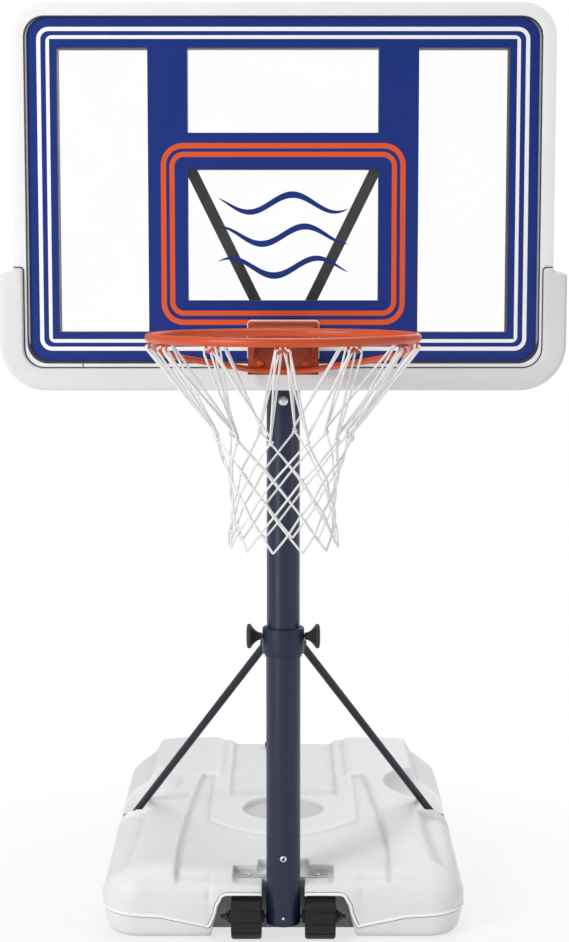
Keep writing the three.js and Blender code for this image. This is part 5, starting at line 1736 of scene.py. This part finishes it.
def wheel(side, sign, outwards):
    bore, hub, dish = 5.7 * mm, 14 * mm, 5 * mm
    base = wheel_radius - tread_depth
    tread = wheel_outer - wheel_inner
    body = turned([
        (bore, -hub_length), (hub - mm, -hub_length), (hub, mm - hub_length), (hub + mm, dish),
        (base - 7 * mm, dish), (base - 5 * mm, 0.4 * mm), (base - 3 * mm, 0),
        (base - 0.8 * mm, 0.8 * mm), (base, 3 * mm), (base, tread - 3 * mm),
        (base - 0.8 * mm, tread - 0.8 * mm), (base - 3 * mm, tread),
        (base - 5 * mm, tread - 0.4 * mm), (base - 7 * mm, tread - dish),
        (hub + mm, tread - dish), (hub, tread + hub_length - mm),
        (hub - mm, tread + hub_length), (bore, tread + hub_length), (bore, -hub_length),
    ], steps=tread_bars * 8)
    raise_bars(tread_bars, 0.125, base, tread_depth)
    ribs = []
    for count in range(rib_count):
        for low, high in ((1.2 * mm, dish + mm), (tread - dish - mm, tread - 1.2 * mm)):
            rib = block((hub - mm, -rib_half, low), (base - 5.5 * mm, rib_half, high))
            rib.rotation_euler.z = math.tau * count / rib_count
            apply_place()
            ribs.append(rib)
    join(body, *ribs)
    smooth(35)
    body.rotation_euler = faces_towards[outwards]
    body.location = (sign * wheel_inner, pole_y, wheel_z)
    apply_place()
    return done(f"{side}_wheel", wheel_black, f"wheel_{side}", "wheel_plastic", f"wheel_{side}")


for side, (sign, outwards) in sides.items():
    wheel(side, sign, outwards)
    nut_start, nut_end = sorted(abs(x) for x in span(f"push_nut_{side}", "x"))
    nut_length = nut_end - nut_start
    turned([
        (5.3 * mm, 0), (10.6 * mm, 0), (11 * mm, 0.6 * mm), (10.4 * mm, 1.6 * mm),
        (8.4 * mm, nut_length * 0.6), (7.2 * mm, nut_length), (5.6 * mm, nut_length),
        (5.3 * mm, nut_length - 0.4 * mm), (5.3 * mm, 0),
    ], (sign * nut_start, pole_y, wheel_z), outwards, 32)
    done(f"{side}_push_nut", steel_black, "root", "zinc_steel", f"push_nut_{side}")

axle_end = span("axle", "x")[1]
axle_radius = 5 * mm
turned([(0, -axle_end), (axle_radius - mm, -axle_end), (axle_radius, mm - axle_end),
        (axle_radius, axle_end - mm), (axle_radius - mm, axle_end), (0, axle_end)],
       (0, pole_y, wheel_z), "x", 32)
done("wheel_axle", steel_black, "root", "zinc_steel", "axle")
print("wheels", round(wheel_radius * 2, 3), "m across")

# %% [markdown]
# ## The filler cap
# The cap on the tank's filler neck is turned, and the faces of its skirt are extruded in turn for
# a grip.

# %% Filler cap
cap_low, cap_high = span("filler_cap", "z")
cap_x, cap_y = middle("filler_cap", "x"), middle("filler_cap", "y")
cap_radius = width("filler_cap", "x") / 2
cap_skirt = cap_high - cap_low - 11 * mm
grip, grip_count = 0.8 * mm, 24
lid = cap_radius - grip
turned([
    (0, 0), (14 * mm, 0), (14.4 * mm, 0.6 * mm), (14.4 * mm, cap_skirt), (lid - mm, cap_skirt),
    (lid, cap_skirt + mm), (lid, cap_skirt + 9 * mm), (lid - 0.6 * mm, cap_skirt + 10.4 * mm),
    (lid - 2.2 * mm, cap_skirt + 11 * mm), (lid - 4 * mm, cap_skirt + 10.6 * mm),
    (0, cap_skirt + 10.2 * mm),
], steps=96)
raise_bars(grip_count, 0.5, lid, grip, cap_skirt + mm)
bpy.context.object.location = (cap_x, cap_y, cap_low)
apply_place()
smooth(35)
done("tank_filler_cap", black_plastic, "filler_cap", "black_plastic", "filler_cap")
print("filler cap at", round(cap_x, 3), round(cap_y, 3))

# %% [markdown]
# ## Floor, light and background
# The floor and the world look plain white to the camera. The lamps are large and soft, and light
# the hoop so that a colour comes out about as it is written. The key stands at the left front.

# %% Studio
class Air(Finish):
    """The world's light, with the same way of adding nodes."""

    def __init__(self, world):
        self.tree = world.node_tree


start_fresh()
floor_size = 60
bpy.ops.mesh.primitive_plane_add(size=floor_size, location=(0, 0, floor_z - 0.5 * mm))
floor = bpy.context.object
floor.name = "studio_floor"
floor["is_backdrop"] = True
paper = Finish("studio_paper", Roughness=0.9, Specular_IOR_Level=0.0)
paper.set("Base Color", (0.86, 0.86, 0.86, 1))
rays = paper.add("LightPath")
seen = Value(paper, rays.outputs["Is Camera Ray"])
glossy = Value(paper, rays.outputs["Is Glossy Ray"])
through = Value(paper, rays.outputs["Is Transmission Ray"])
glow = paper.add("Emission", None, {"Color": (1, 1, 1, 1), "Strength": 1.0})
spread = paper.add("VectorMath", {"operation": "LENGTH"}, {0: paper.place()})
distance = Value(paper, spread.outputs["Value"])
shadow_share = 0.3
near = 1 - paper.between(distance, 0.45, 1.25)
veil = (seen + glossy + through) * (1 - near * shadow_share)
blend = paper.add("MixShader", None, {0: veil, 1: paper.shader.outputs[0], 2: glow.outputs[0]})
paper.put(paper.tree.nodes["Material Output"].inputs["Surface"], blend.outputs[0])
floor.data.materials.append(paper.material)

world = bpy.data.worlds.new("studio_air")
world.use_nodes = True
bpy.context.scene.world = world
air = Air(world)
plain = air.tree.nodes["Background"]
air.put(plain.inputs["Color"], (1, 1, 1, 1))
air.put(plain.inputs["Strength"], 0.42)
bright = air.add("Background", None, {"Color": (1, 1, 1, 1), "Strength": 1.0})
path = air.add("LightPath")
direct = Value(air, path.outputs["Is Camera Ray"])
either = direct.larger(Value(air, path.outputs["Is Transmission Ray"]))
choose = air.add("MixShader", None, {0: either, 1: plain.outputs[0], 2: bright.outputs[0]})
air.put(air.tree.nodes["World Output"].inputs["Surface"], choose.outputs[0])


def lamp(name, place, aim, size, power):
    start_fresh()
    towards = Vector(aim) - Vector(place)
    bpy.ops.object.light_add(type="AREA", location=place,
                             rotation=towards.to_track_quat("-Z", "Y").to_euler())
    light = bpy.context.object
    light.name = name
    light.data.shape = "RECTANGLE"
    light.data.size = size[0]
    light.data.size_y = size[1]
    light.data.energy = power
    return light


target = (0, 0, 0.9)
lamp("key", (-3.2, -3.6, 3.0), target, (1.6, 1.9), 112)
lamp("fill", (3.9, -1.8, 1.5), target, (1.6, 2.2), 16)
lamp("low", (-2.3, -2.9, 0.35), (0, 0, 0.1), (1.2, 0.5), 12)
lamp("top", (0.3, 0.4, 4.6), target, (2.6, 2.6), 72)
lamp("back", (1.5, 4.2, 2.6), target, (2.5, 2.5), 30)
bpy.context.scene.view_settings.view_transform = "Standard"
print("five lamps and a white floor")

# %% [markdown]
# ## Sizes
# The last step prints the box of the finished hoop beside the box of the mechanical model.

# %% Boxes of the mechanical and the finished hoop
full_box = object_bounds()
for name, box in (("mechanical", cad_box), ("finished", full_box)):
    print(name, [tuple(round(value, 4) for value in corner) for corner in box])
